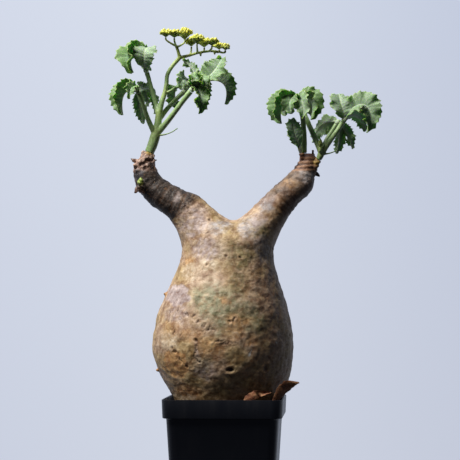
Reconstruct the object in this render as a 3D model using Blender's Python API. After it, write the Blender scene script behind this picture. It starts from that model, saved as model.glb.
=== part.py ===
"""Potted cyphostemma: a bottle-shaped caudex with two arms, green shoots, toothed leaves and a flower cyme,
in a square nursery pot. Every size below is in millimetres and becomes metres when an object is made. The origin
is the centre of the pot's base. The plant's own x, y and z run across its spread, from front to back, and up."""

import math
import random
from collections import namedtuple

import bmesh
import bpy
from mathutils import Euler, Matrix, Vector

MM = 0.001
GAP = 0.3
PLANT_TURN = math.radians(3.7)
SHARP_ANGLE = math.radians(45)

POT_HEIGHT = 95.0
POT_RIM_HALF = 45.0
POT_BASE_HALF = 37.0
POT_WALL = 1.2
POT_FLOOR = 1.6
POT_BAND = 14.0
POT_NECK_HALF = 41.8
BAND_FOOT = POT_HEIGHT - POT_BAND
POT_CORNER = 8.5
CORNER_POINTS = 4
DRAIN_RADIUS = 3.2
DRAIN_REACH = 24.0

SOIL_TOP = 88.0
SOIL_ROUGHNESS = 0.9
PEBBLES = 9

BODY_POINTS = 16
ARM_POINTS = 12
SPLIT_Z = 222.0

TEETH_PITCH = 5.5
TOOTH = 2.1
BLADE = 0.8
LEAFSTALK_BASE = 1.3
COLLAR_NECK = 2.5
HUB_REACH = 2.4
HUB_RADIUS = 2.3
STALK_SIDES = 6

BUD_RADIUS = 1.5
PEDICEL_RADIUS = 0.6
HEAD_CORE = (1.9, 1.9, 1.0)

# Height, centre x, half width and half depth of the trunk, from the root end to below the fork.
TRUNK = (
    (48.0, 0.0, 11.0, 11.0),
    (68.0, 0.4, 28.0, 26.5),
    (93.0, 1.1, 39.0, 36.6),
    (106.0, 0.8, 47.4, 43.6),
    (124.0, -1.7, 53.4, 49.0),
    (142.0, -2.1, 53.5, 49.3),
    (160.0, -1.6, 49.6, 46.0),
    (178.0, -0.1, 42.8, 40.2),
    (195.0, 0.9, 36.2, 34.0),
    (206.0, 1.5, 34.2, 31.0),
    (214.0, 2.4, 36.2, 28.8),
)
SPLIT_RING = (2.1, 39.5, 25.5)
FORK_SADDLE = ((4.5, -14.0, 223.5), (5.7, 0.0, 227.6), (4.5, 14.0, 223.5))
FORK_DROP = 5.0

# The two sides of each arm, from the fork to the crown: x and z of the inner one, then of the outer one.
LEFT_ARM = (
    (-11.0, 238.6, -38.0, 223.6),
    (-20.6, 249.0, -43.3, 232.5),
    (-33.0, 252.4, -51.0, 237.3),
    (-45.5, 259.0, -60.9, 244.2),
    (-52.0, 265.0, -69.2, 256.0),
    (-53.0, 270.0, -70.8, 268.5),
    (-55.6, 277.0, -68.4, 277.0),
)
RIGHT_ARM = (
    (15.2, 234.0, 43.6, 225.6),
    (28.0, 246.6, 49.6, 235.0),
    (38.3, 257.0, 58.0, 245.2),
    (47.6, 264.2, 68.2, 252.6),
    (52.4, 269.6, 67.2, 263.0),
    (56.8, 274.5, 69.4, 272.4),
    (57.7, 281.0, 69.5, 280.2),
)

LEFT_STEM = ((-58.5, 0, 281), (-56, 0, 287), (-54, 0, 293.5), (-52.5, 0, 299), (-51.5, 0, 306), (-51, 0, 313))
LEFT_STEM_RADII = (3.4, 3.4, 3.3, 2.7, 2.4, 2.1)
PEDUNCLE = (
    (-51, 0, 311),
    (-49, 0, 319.5),
    (-47, 0, 327),
    (-45.5, 0, 334),
    (-44.5, 0, 340),
    (-41.5, 0, 347),
    (-35, 0, 354.5),
)
CYME_LEFT = ((-35, 0, 354), (-36.5, -1, 359.5), (-38, -2, 363.5))
CYME_RIGHT = ((-36, 0, 354), (-28, 2, 356.5), (-20.5, 3, 359.5), (-11, 3, 361.5), (-3.5, 2, 362))
TENDRIL_LEFT = ((-48.5, -2, 295), (-41.5, -4, 296.5), (-36.5, -5, 299.5))
BRACT = ((-47.5, 0, 326.5), (-42.5, -1, 328.5), (-39, -2, 331))

RIGHT_STEM = ((71.6, -4.6, 274), (73.0, -5.2, 278), (73.4, -5.2, 283))
RIGHT_STEM_RADII = (3.1, 3.1, 2.5)
TENDRIL_RIGHT = ((74.5, -5.5, 279.5), (80, -6.5, 280.5), (85, -8, 282.5))

# Each leaf: the route of its stalk up to the hub where the leaflets meet, and the radius of the stalk.
LEAF_STALKS = {
    "left_leaf_1": (((-53.5, 0, 295), (-57, -2, 301.5), (-60.5, -4, 310), (-63.5, -5, 319), (-66.5, -5, 327.5)), 1.7),
    "left_leaf_2": (((-51.3, 0, 311), (-53.5, 2, 319.5), (-57.5, 4, 331), (-60.5, 5, 340), (-63, 5, 347)), 1.6),
    "left_leaf_3": (((-51, 1, 307), (-44.5, 5, 316), (-38, 9, 323.5), (-31.5, 11, 330)), 1.6),
    "left_leaf_4": (((-52.5, 0, 296), (-45.5, -3, 303.5), (-38.5, -7, 312), (-31.5, -10, 321), (-25, -11, 329)), 1.9),
    "right_leaf_1": (((59.5, 0, 281), (60, -2, 290), (59.5, -4, 300), (58.5, -6, 310), (56, -7, 320.5)), 2.0),
    "right_leaf_2": (((72.8, -4.6, 282), (68, -1.5, 293), (63, 2, 305), (59, 5, 315.5), (57, 6, 322.5)), 1.9),
    "right_leaf_3": (((73.2, -5.5, 280.5), (79, -6.5, 289), (85.5, -7, 298), (90.5, -7, 306)), 1.9),
    "right_leaf_4": (((73.2, -4.6, 281.5), (77, -0.5, 290.5), (82.5, 3, 299.5), (86.5, 4, 305.5)), 1.6),
    "right_leaf_5": (((57.4, -5.2, 280.6), (56.2, -6.2, 284.5)), 1.5),
}

# A leaflet arches from the hub through two guide points to its tip. half_width is from the midrib to the margin.
# spread is the angle between its halves: 180 is flat, less is a trough open to the outside of the arch, and more
# is a ridge. roll turns the blade about its midrib, and ruffle is how far its margin waves.
Leaflet = namedtuple("Leaflet", "rise crest tip half_width spread roll ruffle", defaults=(0.8,))
LEAVES = {
    "left_leaf_1": (
        Leaflet((-75, -7, 333), (-81, -12, 322.5), (-77.5, -14, 307.5), 10.0, 85, 0),
        Leaflet((-68, -14, 328.5), (-70.5, -20, 323), (-69.5, -18, 317.5), 5.5, 130, 0),
        Leaflet((-71.5, -11, 324), (-72, -16, 313), (-68.5, -16, 303.5), 4.8, 120, 40),
        Leaflet((-69, 9, 335), (-60.5, 18, 335), (-61, 19, 318), 6.2, 110, 15),
        Leaflet((-64, 17, 340), (-51, 28, 339), (-56, 28, 314), 7.0, 110, 0),
    ),
    "left_leaf_2": (
        Leaflet((-68, 0, 369), (-83, -2, 363), (-71.5, -6, 343.5), 9.2, 100, 12, 1.1),
        Leaflet((-62, -5, 357), (-60, 2, 366), (-56, 13, 366), 8.8, 170, 0, 0.9),
        Leaflet((-59.5, 17, 353), (-61, 29, 362), (-66, 40, 354), 6.6, 150, 0),
    ),
    "left_leaf_3": (
        Leaflet((-33.0, 4, 337), (-36.5, -5, 341), (-39.0, -10, 328), 4.6, 130, 0, 0.5),
        Leaflet((-37, 17, 339.5), (-47, 24, 336), (-42.5, 23, 319), 7.5, 130, 20),
        Leaflet((-26, 24, 342), (-17, 34, 340), (-16.5, 36, 322), 8.5, 120, 0),
    ),
    "left_leaf_4": (
        Leaflet((-19.5, -9, 339), (-24, -6, 348), (-33.5, -5, 353), 3.6, 110, 60, 1.2),
        Leaflet((-20.5, -14, 346), (-4.5, -17, 355), (3.0, -15, 336.5), 9.2, 150, 40, 1.1),
        Leaflet((-13.5, -8, 335), (4, -7, 341.5), (-0.5, -8, 317), 8.2, 85, 0),
        Leaflet((-18.5, -20, 333), (-12.5, -26, 325), (-19, -23, 309), 7.5, 105, 0),
        Leaflet((-29, -17, 333.5), (-33.5, -24, 338), (-36, -29, 330), 5.8, 165, 0),
    ),
    "right_leaf_1": (
        Leaflet((44, -9, 325), (36.5, -12, 316), (41.5, -13, 301.5), 9.3, 85, 0),
        Leaflet((50.5, -14, 327.5), (45, -20, 321), (47, -20, 308), 6.5, 130, 20),
        Leaflet((59.5, -16, 330.5), (65, -22, 325), (63.5, -21, 308.5), 6.5, 120, 0, 1.1),
    ),
    "right_leaf_2": (
        Leaflet((60, 3, 332), (73.5, 3, 329), (67.5, 1, 307.5), 8.8, 95, 0),
        Leaflet((52, 16, 334.5), (45, 26, 331), (46.5, 26, 315.5), 8.5, 120, 0),
        Leaflet((63, 20, 335), (73, 35, 334), (71, 38, 317), 8.0, 110, 0),
    ),
    "right_leaf_3": (
        Leaflet((89.5, -10, 312), (86.5, -13, 319.5), (83.0, -9, 324), 7.0, 150, 65),
        Leaflet((98, -8, 323), (113, -9, 327), (106.5, -11, 295.5), 9.6, 120, 20, 1.0),
        Leaflet((97, 6, 317), (105.5, 18, 321), (109, 24, 305), 8.0, 110, 0),
    ),
    "right_leaf_4": (
        Leaflet((80.5, 12, 314), (72.0, 20, 313), (70.5, 21, 297.5), 7.6, 130, 10),
        Leaflet((92, 11, 304), (99.5, 15, 299), (98.0, 15, 287.5), 6.0, 120, 15),
        Leaflet((88, 12, 303), (91, 19, 293), (85.0, 19, 282), 6.2, 120, 15),
    ),
    "right_leaf_5": (Leaflet((54.5, -6.5, 291), (47.5, -9, 298), (47.5, -5, 306), 5.6, 140, 55),),
}

# Each flower head: where its stalk leaves the cyme, the foot of the head, its radius, its height and its buds.
HEADS = {
    "flower_head_1": ((-38, -2, 363), (-47.4, -4, 370.2), 4.8, 3.2, 8),
    "flower_head_2": ((-38, -2, 363), (-40.0, -9, 368.8), 5.4, 3.4, 9),
    "flower_head_3": ((-37.5, -2, 362), (-32.5, 7, 368.5), 5.6, 5.0, 10),
    "flower_head_4": ((-21.5, 3, 359.3), (-22.8, -5, 365.2), 5.4, 4.0, 9),
    "flower_head_5": ((-18, 3, 360), (-16.5, 10, 365.0), 5.2, 4.2, 9),
    "flower_head_6": ((-12.5, 3, 361.2), (-10.5, -5, 364.0), 5.0, 3.4, 8),
    "flower_head_7": ((-8, 3, 361.8), (-4.5, 9.5, 364.0), 4.6, 3.0, 8),
    "flower_head_8": ((-5.5, 2.4, 361.9), (1.2, 0.4, 363.6), 3.8, 2.4, 6),
    "flower_head_9": ((-27, 2, 357), (-27.0, 13.5, 365.4), 4.8, 4.0, 8),
}

# Each axil bud: its seat, its tip and its radius.
LEFT_BUD = ((-66.2, -11.6, 255.4), (-65.4, -13.0, 261.6))
LEFT_BUD_RADIUS = 2.4
RIGHT_BUD = ((72.0, -9.0, 284.6), (72.2, -9.9, 291.3))
RIGHT_BUD_RADIUS = 1.7
KNOT_HOLE = ((3.6, -46.6, 117.0), (3.4, 3.0, 1.7))

# Each shed scrap on the soil: its spine, half its width along that, and the way in which its width runs.
SCRAPS = {
    "dry_scrap_1": (((38.0, -30.0, 91.4), (43.0, -27.0, 99.0), (49.0, -23.5, 104.6), (57.0, -19.5, 106.4)),
                    (1.6, 4.6, 5.0, 0.6), (0.42, 0.6, -0.68)),
    "dry_scrap_2": (((19.4, -40.8, 89.3), (21.5, -41.6, 94.6), (25.5, -42.0, 99.0), (31.5, -41.8, 101.4)),
                    (2.4, 3.4, 2.8, 0.6), (0.75, 0.0, -0.66)),
}


def clear_scene():
    for thing in list(bpy.data.objects):
        bpy.data.objects.remove(thing)


def finish(name, colour, roughness, specular=0.5):
    """A plain surface of one colour."""
    material = bpy.data.materials.new(name)
    material.use_nodes = True
    shader = material.node_tree.nodes["Principled BSDF"]
    shader.inputs["Base Color"].default_value = (*colour, 1)
    shader.inputs["Roughness"].default_value = roughness
    shader.inputs["Specular IOR Level"].default_value = specular
    return material


def mesh_of(name, shape):
    """A mesh in metres with its faces pointing out, from points in millimetres and faces."""
    points, faces = shape
    mesh = bpy.data.meshes.new(name)
    mesh.from_pydata([Vector(point) * MM for point in points], [], faces)
    work = bmesh.new()
    work.from_mesh(mesh)
    bmesh.ops.recalc_face_normals(work, faces=work.faces)
    work.to_mesh(mesh)
    work.free()
    return mesh


def add_object(name, shape, material, parent=None):
    thing = bpy.data.objects.new(name, mesh_of(name, shape))
    thing.data.materials.append(material)
    bpy.context.scene.collection.objects.link(thing)
    thing.parent = parent
    smooth(thing.data)
    return thing


def smooth(mesh):
    mesh.shade_smooth()
    mesh.set_sharp_from_angle(angle=SHARP_ANGLE)


def applied(thing):
    """Replaces an object's mesh by what its modifiers make of it."""
    graph = bpy.context.evaluated_depsgraph_get()
    graph.update()
    mesh = bpy.data.meshes.new_from_object(thing.evaluated_get(graph))
    material = thing.data.materials[0]
    thing.modifiers.clear()
    thing.data = mesh
    mesh.materials.clear()
    mesh.materials.append(material)
    mesh.polygons.foreach_set("material_index", [0] * len(mesh.polygons))


def keep_largest_body(mesh):
    """Drops loose scraps and the walls of sealed hollows, so that one solid is left."""
    work = bmesh.new()
    work.from_mesh(mesh)
    waiting = set(work.verts)
    bodies = []
    while waiting:
        edge = [waiting.pop()]
        body = []
        while edge:
            point = edge.pop()
            body.append(point)
            for link in point.link_edges:
                other = link.other_vert(point)
                if other in waiting:
                    waiting.discard(other)
                    edge.append(other)
        bodies.append(body)
    bodies.sort(key=len, reverse=True)
    for body in bodies[1:]:
        bmesh.ops.delete(work, geom=body, context="VERTS")
    work.to_mesh(mesh)
    work.free()


def combine(thing, shapes, operation, solver="EXACT"):
    """Joins shapes to an object, or cuts them from it, in one Boolean on a collection."""
    group = bpy.data.collections.new(thing.name + " helpers")
    bpy.context.scene.collection.children.link(group)
    for number, shape in enumerate(shapes):
        helper = bpy.data.objects.new(f"{thing.name} helper {number}", mesh_of("helper", shape))
        helper.hide_render = True
        helper.display_type = "WIRE"
        helper.parent = thing.parent
        group.objects.link(helper)
    boolean = thing.modifiers.new(operation, "BOOLEAN")
    boolean.operation = operation
    boolean.operand_type = "COLLECTION"
    boolean.collection = group
    boolean.solver = solver
    applied(thing)
    for helper in list(group.objects):
        bpy.data.objects.remove(helper)
    bpy.data.collections.remove(group)
    keep_largest_body(thing.data)
    smooth(thing.data)


def loft(rings, closed=False):
    """A skin through rings of equal length, with a flat face on each end unless it closes on itself."""
    count = len(rings[0])
    points = [point for ring in rings for point in ring]
    faces = []
    for index in range(len(rings) if closed else len(rings) - 1):
        lower = index * count
        upper = (index + 1) % len(rings) * count
        for step in range(count):
            after = (step + 1) % count
            faces.append((lower + step, lower + after, upper + after, upper + step))
    if not closed:
        faces.append(tuple(reversed(range(count))))
        faces.append(tuple(range(len(points) - count, len(points))))
    return points, faces


def smooth_route(points, steps):
    """Points along a smooth curve through the given ones, with this many steps from each to the next."""
    points = [Vector(point) for point in points]
    ends = [points[0] * 2 - points[1], *points, points[-1] * 2 - points[-2]]
    route = []
    for before, start, stop, after in zip(ends, ends[1:], ends[2:], ends[3:]):
        for step in range(steps):
            t = step / steps
            route.append(
                0.5 * (2 * start + (stop - before) * t
                       + (2 * before - 5 * start + 4 * stop - after) * t**2
                       + (3 * start - before - 3 * stop + after) * t**3)
            )
    return [*route, points[-1]]


def trimmed(route, length):
    """The route without this length at its end."""
    route = [Vector(point) for point in route]
    while (route[-1] - route[-2]).length <= length:
        length -= (route[-1] - route[-2]).length
        route.pop()
    way = (route[-2] - route[-1]).normalized()
    return [*route[:-1], route[-1] + way * length]


def tube(route, radii, sides):
    """A round stem along a route, with its radius eased between the given ones."""
    route = [Vector(point) for point in route]
    way = (route[1] - route[0]).normalized()
    across = way.orthogonal().normalized()
    rings = []
    for index, centre in enumerate(route):
        before = route[max(index - 1, 0)]
        after = route[min(index + 1, len(route) - 1)]
        new_way = (after - before).normalized()
        across.rotate(way.rotation_difference(new_way))
        way = new_way
        place = index / (len(route) - 1) * (len(radii) - 1)
        low = min(int(place), len(radii) - 2)
        radius = radii[low] + (radii[low + 1] - radii[low]) * (place - low)
        rings.append(
            [
                centre + (across * math.cos(turn) + way.cross(across) * math.sin(turn)) * radius
                for turn in (step * math.tau / sides for step in range(sides))
            ]
        )
    return loft(rings)


def bud_shape(place, radius, height, sides=4):
    """A small pointed bud, widest at its middle."""
    place = Vector(place)
    points = [place - Vector((0, 0, height / 2)), place + Vector((0, 0, height / 2))]
    for step in range(sides):
        turn = step * math.tau / sides + place.x
        points.append(place + Vector((math.cos(turn) * radius, math.sin(turn) * radius, 0)))
    faces = []
    for step in range(sides):
        here = 2 + step
        after = 2 + (step + 1) % sides
        faces.append((0, after, here))
        faces.append((1, here, after))
    return points, faces


def ball(centre, radii, tilt=(0, 0, 0), detail=1, wobble=0.0, seed=0):
    """A small round or lumpy body of few faces."""
    work = bmesh.new()
    bmesh.ops.create_icosphere(work, subdivisions=detail, radius=1)
    chance = random.Random(seed)
    turn = Euler([math.radians(angle) for angle in tilt]).to_matrix()
    points = []
    for vert in work.verts:
        size = 1 + chance.uniform(-wobble, wobble)
        points.append(turn @ Vector([c * r * size for c, r in zip(vert.co, radii)]) + Vector(centre))
    faces = [[vert.index for vert in face.verts] for face in work.faces]
    work.free()
    return points, faces


def rounded_square(half, corner, height, points_per_corner):
    """A level square ring with round corners."""
    ring = []
    for quarter in range(4):
        start = quarter * math.pi / 2
        middle = Vector((half - corner, half - corner, 0))
        middle.rotate(Euler((0, 0, start)))
        for step in range(points_per_corner):
            turn = start + step / (points_per_corner - 1) * math.pi / 2
            ring.append(middle + Vector((math.cos(turn) * corner, math.sin(turn) * corner, height)))
    return ring


def corner_of(half):
    """The corner radius of a level ring of the pot with this half width."""
    return POT_CORNER - (POT_RIM_HALF - half) * 0.25


def pot_wall_inside(height):
    """The half width between the pot's inner faces at a height."""
    if height >= BAND_FOOT:
        return POT_RIM_HALF - POT_WALL - 0.4 * (POT_HEIGHT - height) / POT_BAND
    slope = (POT_NECK_HALF - POT_BASE_HALF) / BAND_FOOT
    return POT_BASE_HALF - POT_WALL + slope * height


def add_pot(material):
    """A moulded shell: tapered walls, a stepped band under the rim, and a floor with drainage holes."""
    profile = (
        (0.0, POT_BASE_HALF - 1.0),
        (0.9, POT_BASE_HALF),
        (BAND_FOOT - 0.9, POT_NECK_HALF),
        (BAND_FOOT, POT_RIM_HALF - 0.9),
        (BAND_FOOT + 1.0, POT_RIM_HALF - 0.5),
        (POT_HEIGHT - 0.5, POT_RIM_HALF),
        (POT_HEIGHT, POT_RIM_HALF - 0.35),
        (POT_HEIGHT, POT_RIM_HALF - 0.85),
        (POT_HEIGHT - 0.5, pot_wall_inside(POT_HEIGHT)),
        (BAND_FOOT + 1.4, pot_wall_inside(BAND_FOOT + 1.4)),
        (BAND_FOOT - 0.8, pot_wall_inside(BAND_FOOT - 0.8)),
        (POT_FLOOR, pot_wall_inside(POT_FLOOR)),
    )
    rings = []
    for height, half in profile:
        rings.append(rounded_square(half, corner_of(half), height, CORNER_POINTS))
    pot = add_object("pot", loft(rings), material)
    holes = []
    for step in range(8):
        turn = step * math.tau / 8
        reach = DRAIN_REACH * (1.2 if step % 2 else 1.0)
        x = math.cos(turn) * reach
        y = math.sin(turn) * reach
        holes.append(tube(((x, y, -2), (x, y, POT_FLOOR + 2)), (DRAIN_RADIUS, DRAIN_RADIUS), 7))
    combine(pot, holes, "DIFFERENCE")
    return pot


def trunk_ring(centre_x, half_width, half_depth, height):
    """A level ring of the trunk, a little uneven round its girth."""
    ring = []
    for step in range(BODY_POINTS):
        turn = step * math.tau / BODY_POINTS
        wave = 1 + 0.012 * math.sin(3 * turn + height * 0.05) + 0.008 * math.sin(5 * turn - height * 0.09)
        x = math.cos(turn) * half_width
        y = math.sin(turn) * half_depth
        wave_y = wave if abs(math.sin(turn)) > 0.5 else 1
        ring.append(Vector((centre_x + x, y * wave_y, height)))
    return ring


def ring_fill(points_in_ring):
    """How much a ring grows so that one step of smoothing leaves it at its stated size."""
    return 1 / (0.75 + 0.25 * math.cos(math.tau / points_in_ring))


def arm_rings(arm):
    """Rings across an arm, each round from its inner side to its outer one."""
    rings = []
    for inner_x, inner_z, outer_x, outer_z in arm:
        inner = Vector((inner_x, 0, inner_z))
        outer = Vector((outer_x, 0, outer_z))
        centre = (inner + outer) / 2
        radius = (outer - inner).length / 2 * ring_fill(ARM_POINTS)
        across = (outer - inner).normalized()
        rings.append(
            [
                centre + (across * math.cos(turn) + Vector((0, 1, 0)) * math.sin(turn)) * radius
                for turn in (step * math.tau / ARM_POINTS for step in range(ARM_POINTS))
            ]
        )
    return rings


def caudex_cage():
    """Quads through the trunk's rings, parted at a saddle into the two arms."""
    fill = ring_fill(BODY_POINTS)
    rings = [trunk_ring(x, width * fill, depth * fill, z) for z, x, width, depth in TRUNK]
    centre_x, half_width, half_depth = SPLIT_RING
    split = trunk_ring(centre_x, half_width * fill, half_depth * fill, SPLIT_Z)
    for point in split:
        nearness = 1 - min(abs(point.x - centre_x) / half_width, 1)
        point.z -= FORK_DROP * nearness**2
    rings.append(split)
    points, faces = loft(rings)
    faces.pop()
    split_start = len(points) - BODY_POINTS
    saddle = [len(points) + step for step in range(len(FORK_SADDLE))]
    points.extend(Vector(point) for point in FORK_SADDLE)
    front, back = 12, 4
    right_loop = [*range(0, back + 1), *("saddle",) * 3, *range(front, BODY_POINTS)]
    left_loop = [*range(8, back - 1, -1), *("saddle",) * 3, *range(front, 8, -1)]
    for loop, arm in ((right_loop, RIGHT_ARM), (left_loop, LEFT_ARM)):
        over = iter(reversed(saddle))
        last = [next(over) if step == "saddle" else split_start + step for step in loop]
        for ring in arm_rings(arm):
            new = list(range(len(points), len(points) + ARM_POINTS))
            points.extend(ring)
            for step in range(ARM_POINTS):
                after = (step + 1) % ARM_POINTS
                faces.append((last[step], last[after], new[after], new[step]))
            last = new
        faces.append(tuple(last))
    return points, faces


def crown_pieces():
    """The knobs, rings, dry stubs and collars that the two crowns have grown."""
    pieces = [
        collar((-61.5, 0, 270.5), LEFT_STEM, 4.5, 10),
        collar((65, -1.4, 267), RIGHT_STEM, 3.6, 10),
        collar((61, -1, 275), LEAF_STALKS["right_leaf_1"][0], 2.5),
        collar((60, -2.5, 275), LEAF_STALKS["right_leaf_5"][0], 1.8, 6),
        collar((-62.5, -5.5, 251.5), LEFT_BUD, 2.0),
        tube(((-64, -1, 273), (-69, -1, 275.2), (-72.6, -1, 277)), (3.0, 2.2, 1.4), 6),
        tube(((-60, -2, 272), (-56.5, -3, 273.6), (-53, -3, 275.4)), (2.6, 1.8, 1.1), 6),
        tube(((-63, 4, 269), (-64, 8.4, 274), (-63.4, 10.8, 278)), (3.2, 2.4, 1.6), 6),
        tube(((-64, -3, 256), (-67.5, -4, 252.5), (-68.6, -4.5, 250.2)), (2.4, 1.6, 0.9), 6),
        tube(((60, 0, 268), (56, -1, 269.2), (53.4, -1, 271.2)), (2.2, 1.6, 1.0), 6),
        tube(((64, 1, 267.5), (68.5, 1, 265.6), (72.2, 1.5, 263.2)), (2.4, 1.7, 0.8), 6),
        tube(((63, 3, 272), (63, 7.5, 275), (63, 9, 279)), (2.6, 2.0, 1.2), 6),
        tube(((66.6, 1.5, 278), (67, 1.8, 283.4)), (1.2, 0.8), 5),
    ]
    for number, (x, y, z, size) in enumerate(
        ((-67, -3, 271, 3.6), (-64, -6, 274, 3.4), (-58.5, -5, 271.5, 3.2), (-68, 3, 268, 3.4), (-57.6, 4.4, 274.2, 3.4))
    ):
        pieces.append(ball((x, y, z), (size, size, size * 0.8), detail=1, wobble=0.12, seed=number))
    for height, radius in ((271.5, 7.7), (277.0, 6.8)):
        pieces.append(tube(((63.1, 0, height - 0.9), (63.2, 0, height), (63.3, 0, height + 0.9)),
                           (radius - 0.9, radius, radius - 0.9), 10))
    return pieces


def collar(start, route, radius, sides=8):
    """What carries a stem, stalk or bud: it grows from start to the foot of the route, and ends square to it."""
    foot = Vector(route[0])
    way = (Vector(route[1]) - foot).normalized()
    return tube((start, foot - way * COLLAR_NECK, foot), (radius * 1.3, radius * 1.15, radius), sides)


def add_caudex(material, plant):
    """The trunk, its root end and both arms: one grown piece."""
    caudex = add_object("caudex", caudex_cage(), material, plant)
    rounder = caudex.modifiers.new("rounder", "SUBSURF")
    rounder.levels = 1
    rounder.render_levels = 1
    applied(caudex)
    root = caudex.data.copy()
    combine(caudex, crown_pieces(), "UNION")
    place, radii = KNOT_HOLE
    combine(caudex, [ball(place, radii, detail=2)], "DIFFERENCE")
    return root


def add_soil(material, root):
    """Gritty mix from the pot's floor to just under its rim, with a plain hole for the root end."""
    rings = []
    for level in (POT_FLOOR, BAND_FOOT - 0.8, BAND_FOOT + 1.4):
        wall = pot_wall_inside(level)
        rings.append(rounded_square(wall - GAP, corner_of(wall) - GAP, level + GAP, CORNER_POINTS))
    rng = random.Random(4)
    side = pot_wall_inside(SOIL_TOP) - GAP
    for inset in (0.0, 4.0, 9.0, 15.0):
        ring = rounded_square(side - inset, corner_of(side) - GAP, SOIL_TOP, CORNER_POINTS)
        for point in ring:
            point.z += rng.uniform(-SOIL_ROUGHNESS, SOIL_ROUGHNESS) + inset * 0.08
        rings.append(ring)
    soil = add_object("soil", loft(rings), material)
    pebbles = []
    while len(pebbles) < PEBBLES:
        x = rng.uniform(-side + 3.5, side - 3.5)
        y = rng.uniform(-side + 3.5, side - 3.5)
        if math.hypot(x, y) < 41:
            continue
        size = rng.uniform(1.6, 2.9)
        tilt = [rng.uniform(0, 180) for _ in range(3)]
        pebbles.append(ball((x, y, SOIL_TOP + 0.5), (size, size * 0.8, size * 0.65), tilt, 1, 0.1, len(pebbles)))
    combine(soil, pebbles, "UNION")
    turned = Matrix.Rotation(PLANT_TURN, 3, "Z")
    points = [turned @ (vert.co / MM + vert.normal * (GAP + 0.15)) for vert in root.vertices]
    faces = [tuple(face.vertices) for face in root.polygons]
    combine(soil, [(points, faces)], "DIFFERENCE")
    return soil


def raised(route):
    """The route with its foot lifted off its seat by the gap that touching pieces keep."""
    foot = Vector(route[0])
    way = (Vector(route[1]) - foot).normalized()
    return [foot + way * GAP, *route[1:]]


def way_along(route):
    """The direction in which a route ends."""
    return (Vector(route[-1]) - Vector(route[-2])).normalized()


def stalk_tube(leaf):
    """A leaf's stalk, up to a small gap under the hub of its leaflets."""
    points, radius = LEAF_STALKS[leaf]
    route = trimmed(smooth_route(points, 2), HUB_REACH + GAP)
    return tube(route, (radius * 1.25, radius, radius * 0.9, radius * 1.05), STALK_SIDES)


def head_stalk(head):
    """The stalk of a flower head, up to a small gap under it, upright at its end."""
    start, foot = [Vector(point) for point in HEADS[head][:2]]
    neck = foot - Vector((0, 0, 2.0))
    middle = start.lerp(neck, 0.6) + Vector((0, (foot.y - start.y) * 0.12, -0.4))
    return tube(trimmed((start, middle, neck, foot), GAP), (1.1, 0.95, 0.9, 0.95), 5)


def add_left_stem(material, plant):
    """The green stem of the left arm with its leaf stalks, flower stalk, tendril and bract."""
    stem = add_object("left_stem", tube(raised(LEFT_STEM), LEFT_STEM_RADII, 9), material, plant)
    parts = [stalk_tube(leaf) for leaf in LEAF_STALKS if leaf.startswith("left")]
    parts += [head_stalk(head) for head in HEADS]
    parts += [
        tube(PEDUNCLE, (1.9, 1.6, 1.4, 1.4, 1.5), 6),
        tube(CYME_LEFT, (1.3, 1.2, 1.3), 5),
        tube(CYME_RIGHT, (1.3, 1.2, 1.1, 1.0), 5),
        tube(smooth_route(TENDRIL_LEFT, 2), (0.9, 0.6, 0.35), 4),
        tube(BRACT, (0.9, 1.3, 0.4), 4),
    ]
    combine(stem, parts, "UNION")
    return stem


def add_right_stem(material, plant):
    """The short green stem of the right arm with three leaf stalks, a tendril and a bud."""
    stem = add_object("right_stem", tube(raised(RIGHT_STEM), RIGHT_STEM_RADII, 9), material, plant)
    parts = [stalk_tube(leaf) for leaf in ("right_leaf_2", "right_leaf_3", "right_leaf_4")]
    parts.append(tube(smooth_route(TENDRIL_RIGHT, 2), (0.9, 0.6, 0.35), 4))
    parts.append(collar((73, -5.5, 280.5), RIGHT_BUD, 1.3, 6))
    combine(stem, parts, "UNION")
    return stem


def add_single_stalk(material, plant):
    """The leaf stalk that stands by itself on the right crown."""
    points, radius = LEAF_STALKS["right_leaf_1"]
    route = trimmed(smooth_route(raised(points), 2), HUB_REACH + GAP)
    radii = (radius * 1.1, radius, radius * 0.9, radius * 1.05)
    return add_object("right_stalk", tube(route, radii, STALK_SIDES), material, plant)


def arch_point(guides, s):
    near, rise, crest, tip = guides
    t = 1 - s
    return near * t**3 + rise * (3 * s * t**2) + crest * (3 * s**2 * t) + tip * s**3


def arch_way(guides, s):
    near, rise, crest, tip = guides
    t = 1 - s
    return ((rise - near) * t**2 + (crest - rise) * (2 * s * t) + (tip - crest) * s**2).normalized()


def blade_half_width(s, half_width):
    """The width of half a leaflet along its midrib: narrow at the foot, widest past the middle, with a blunt tip."""
    rise, fall = 0.9, 0.65
    peak = rise / (rise + fall)
    full = peak**rise * (1 - peak) ** fall
    return max(half_width * s**rise * (1 - s) ** fall / full, LEAFSTALK_BASE * (1 - s) ** 2)


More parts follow.
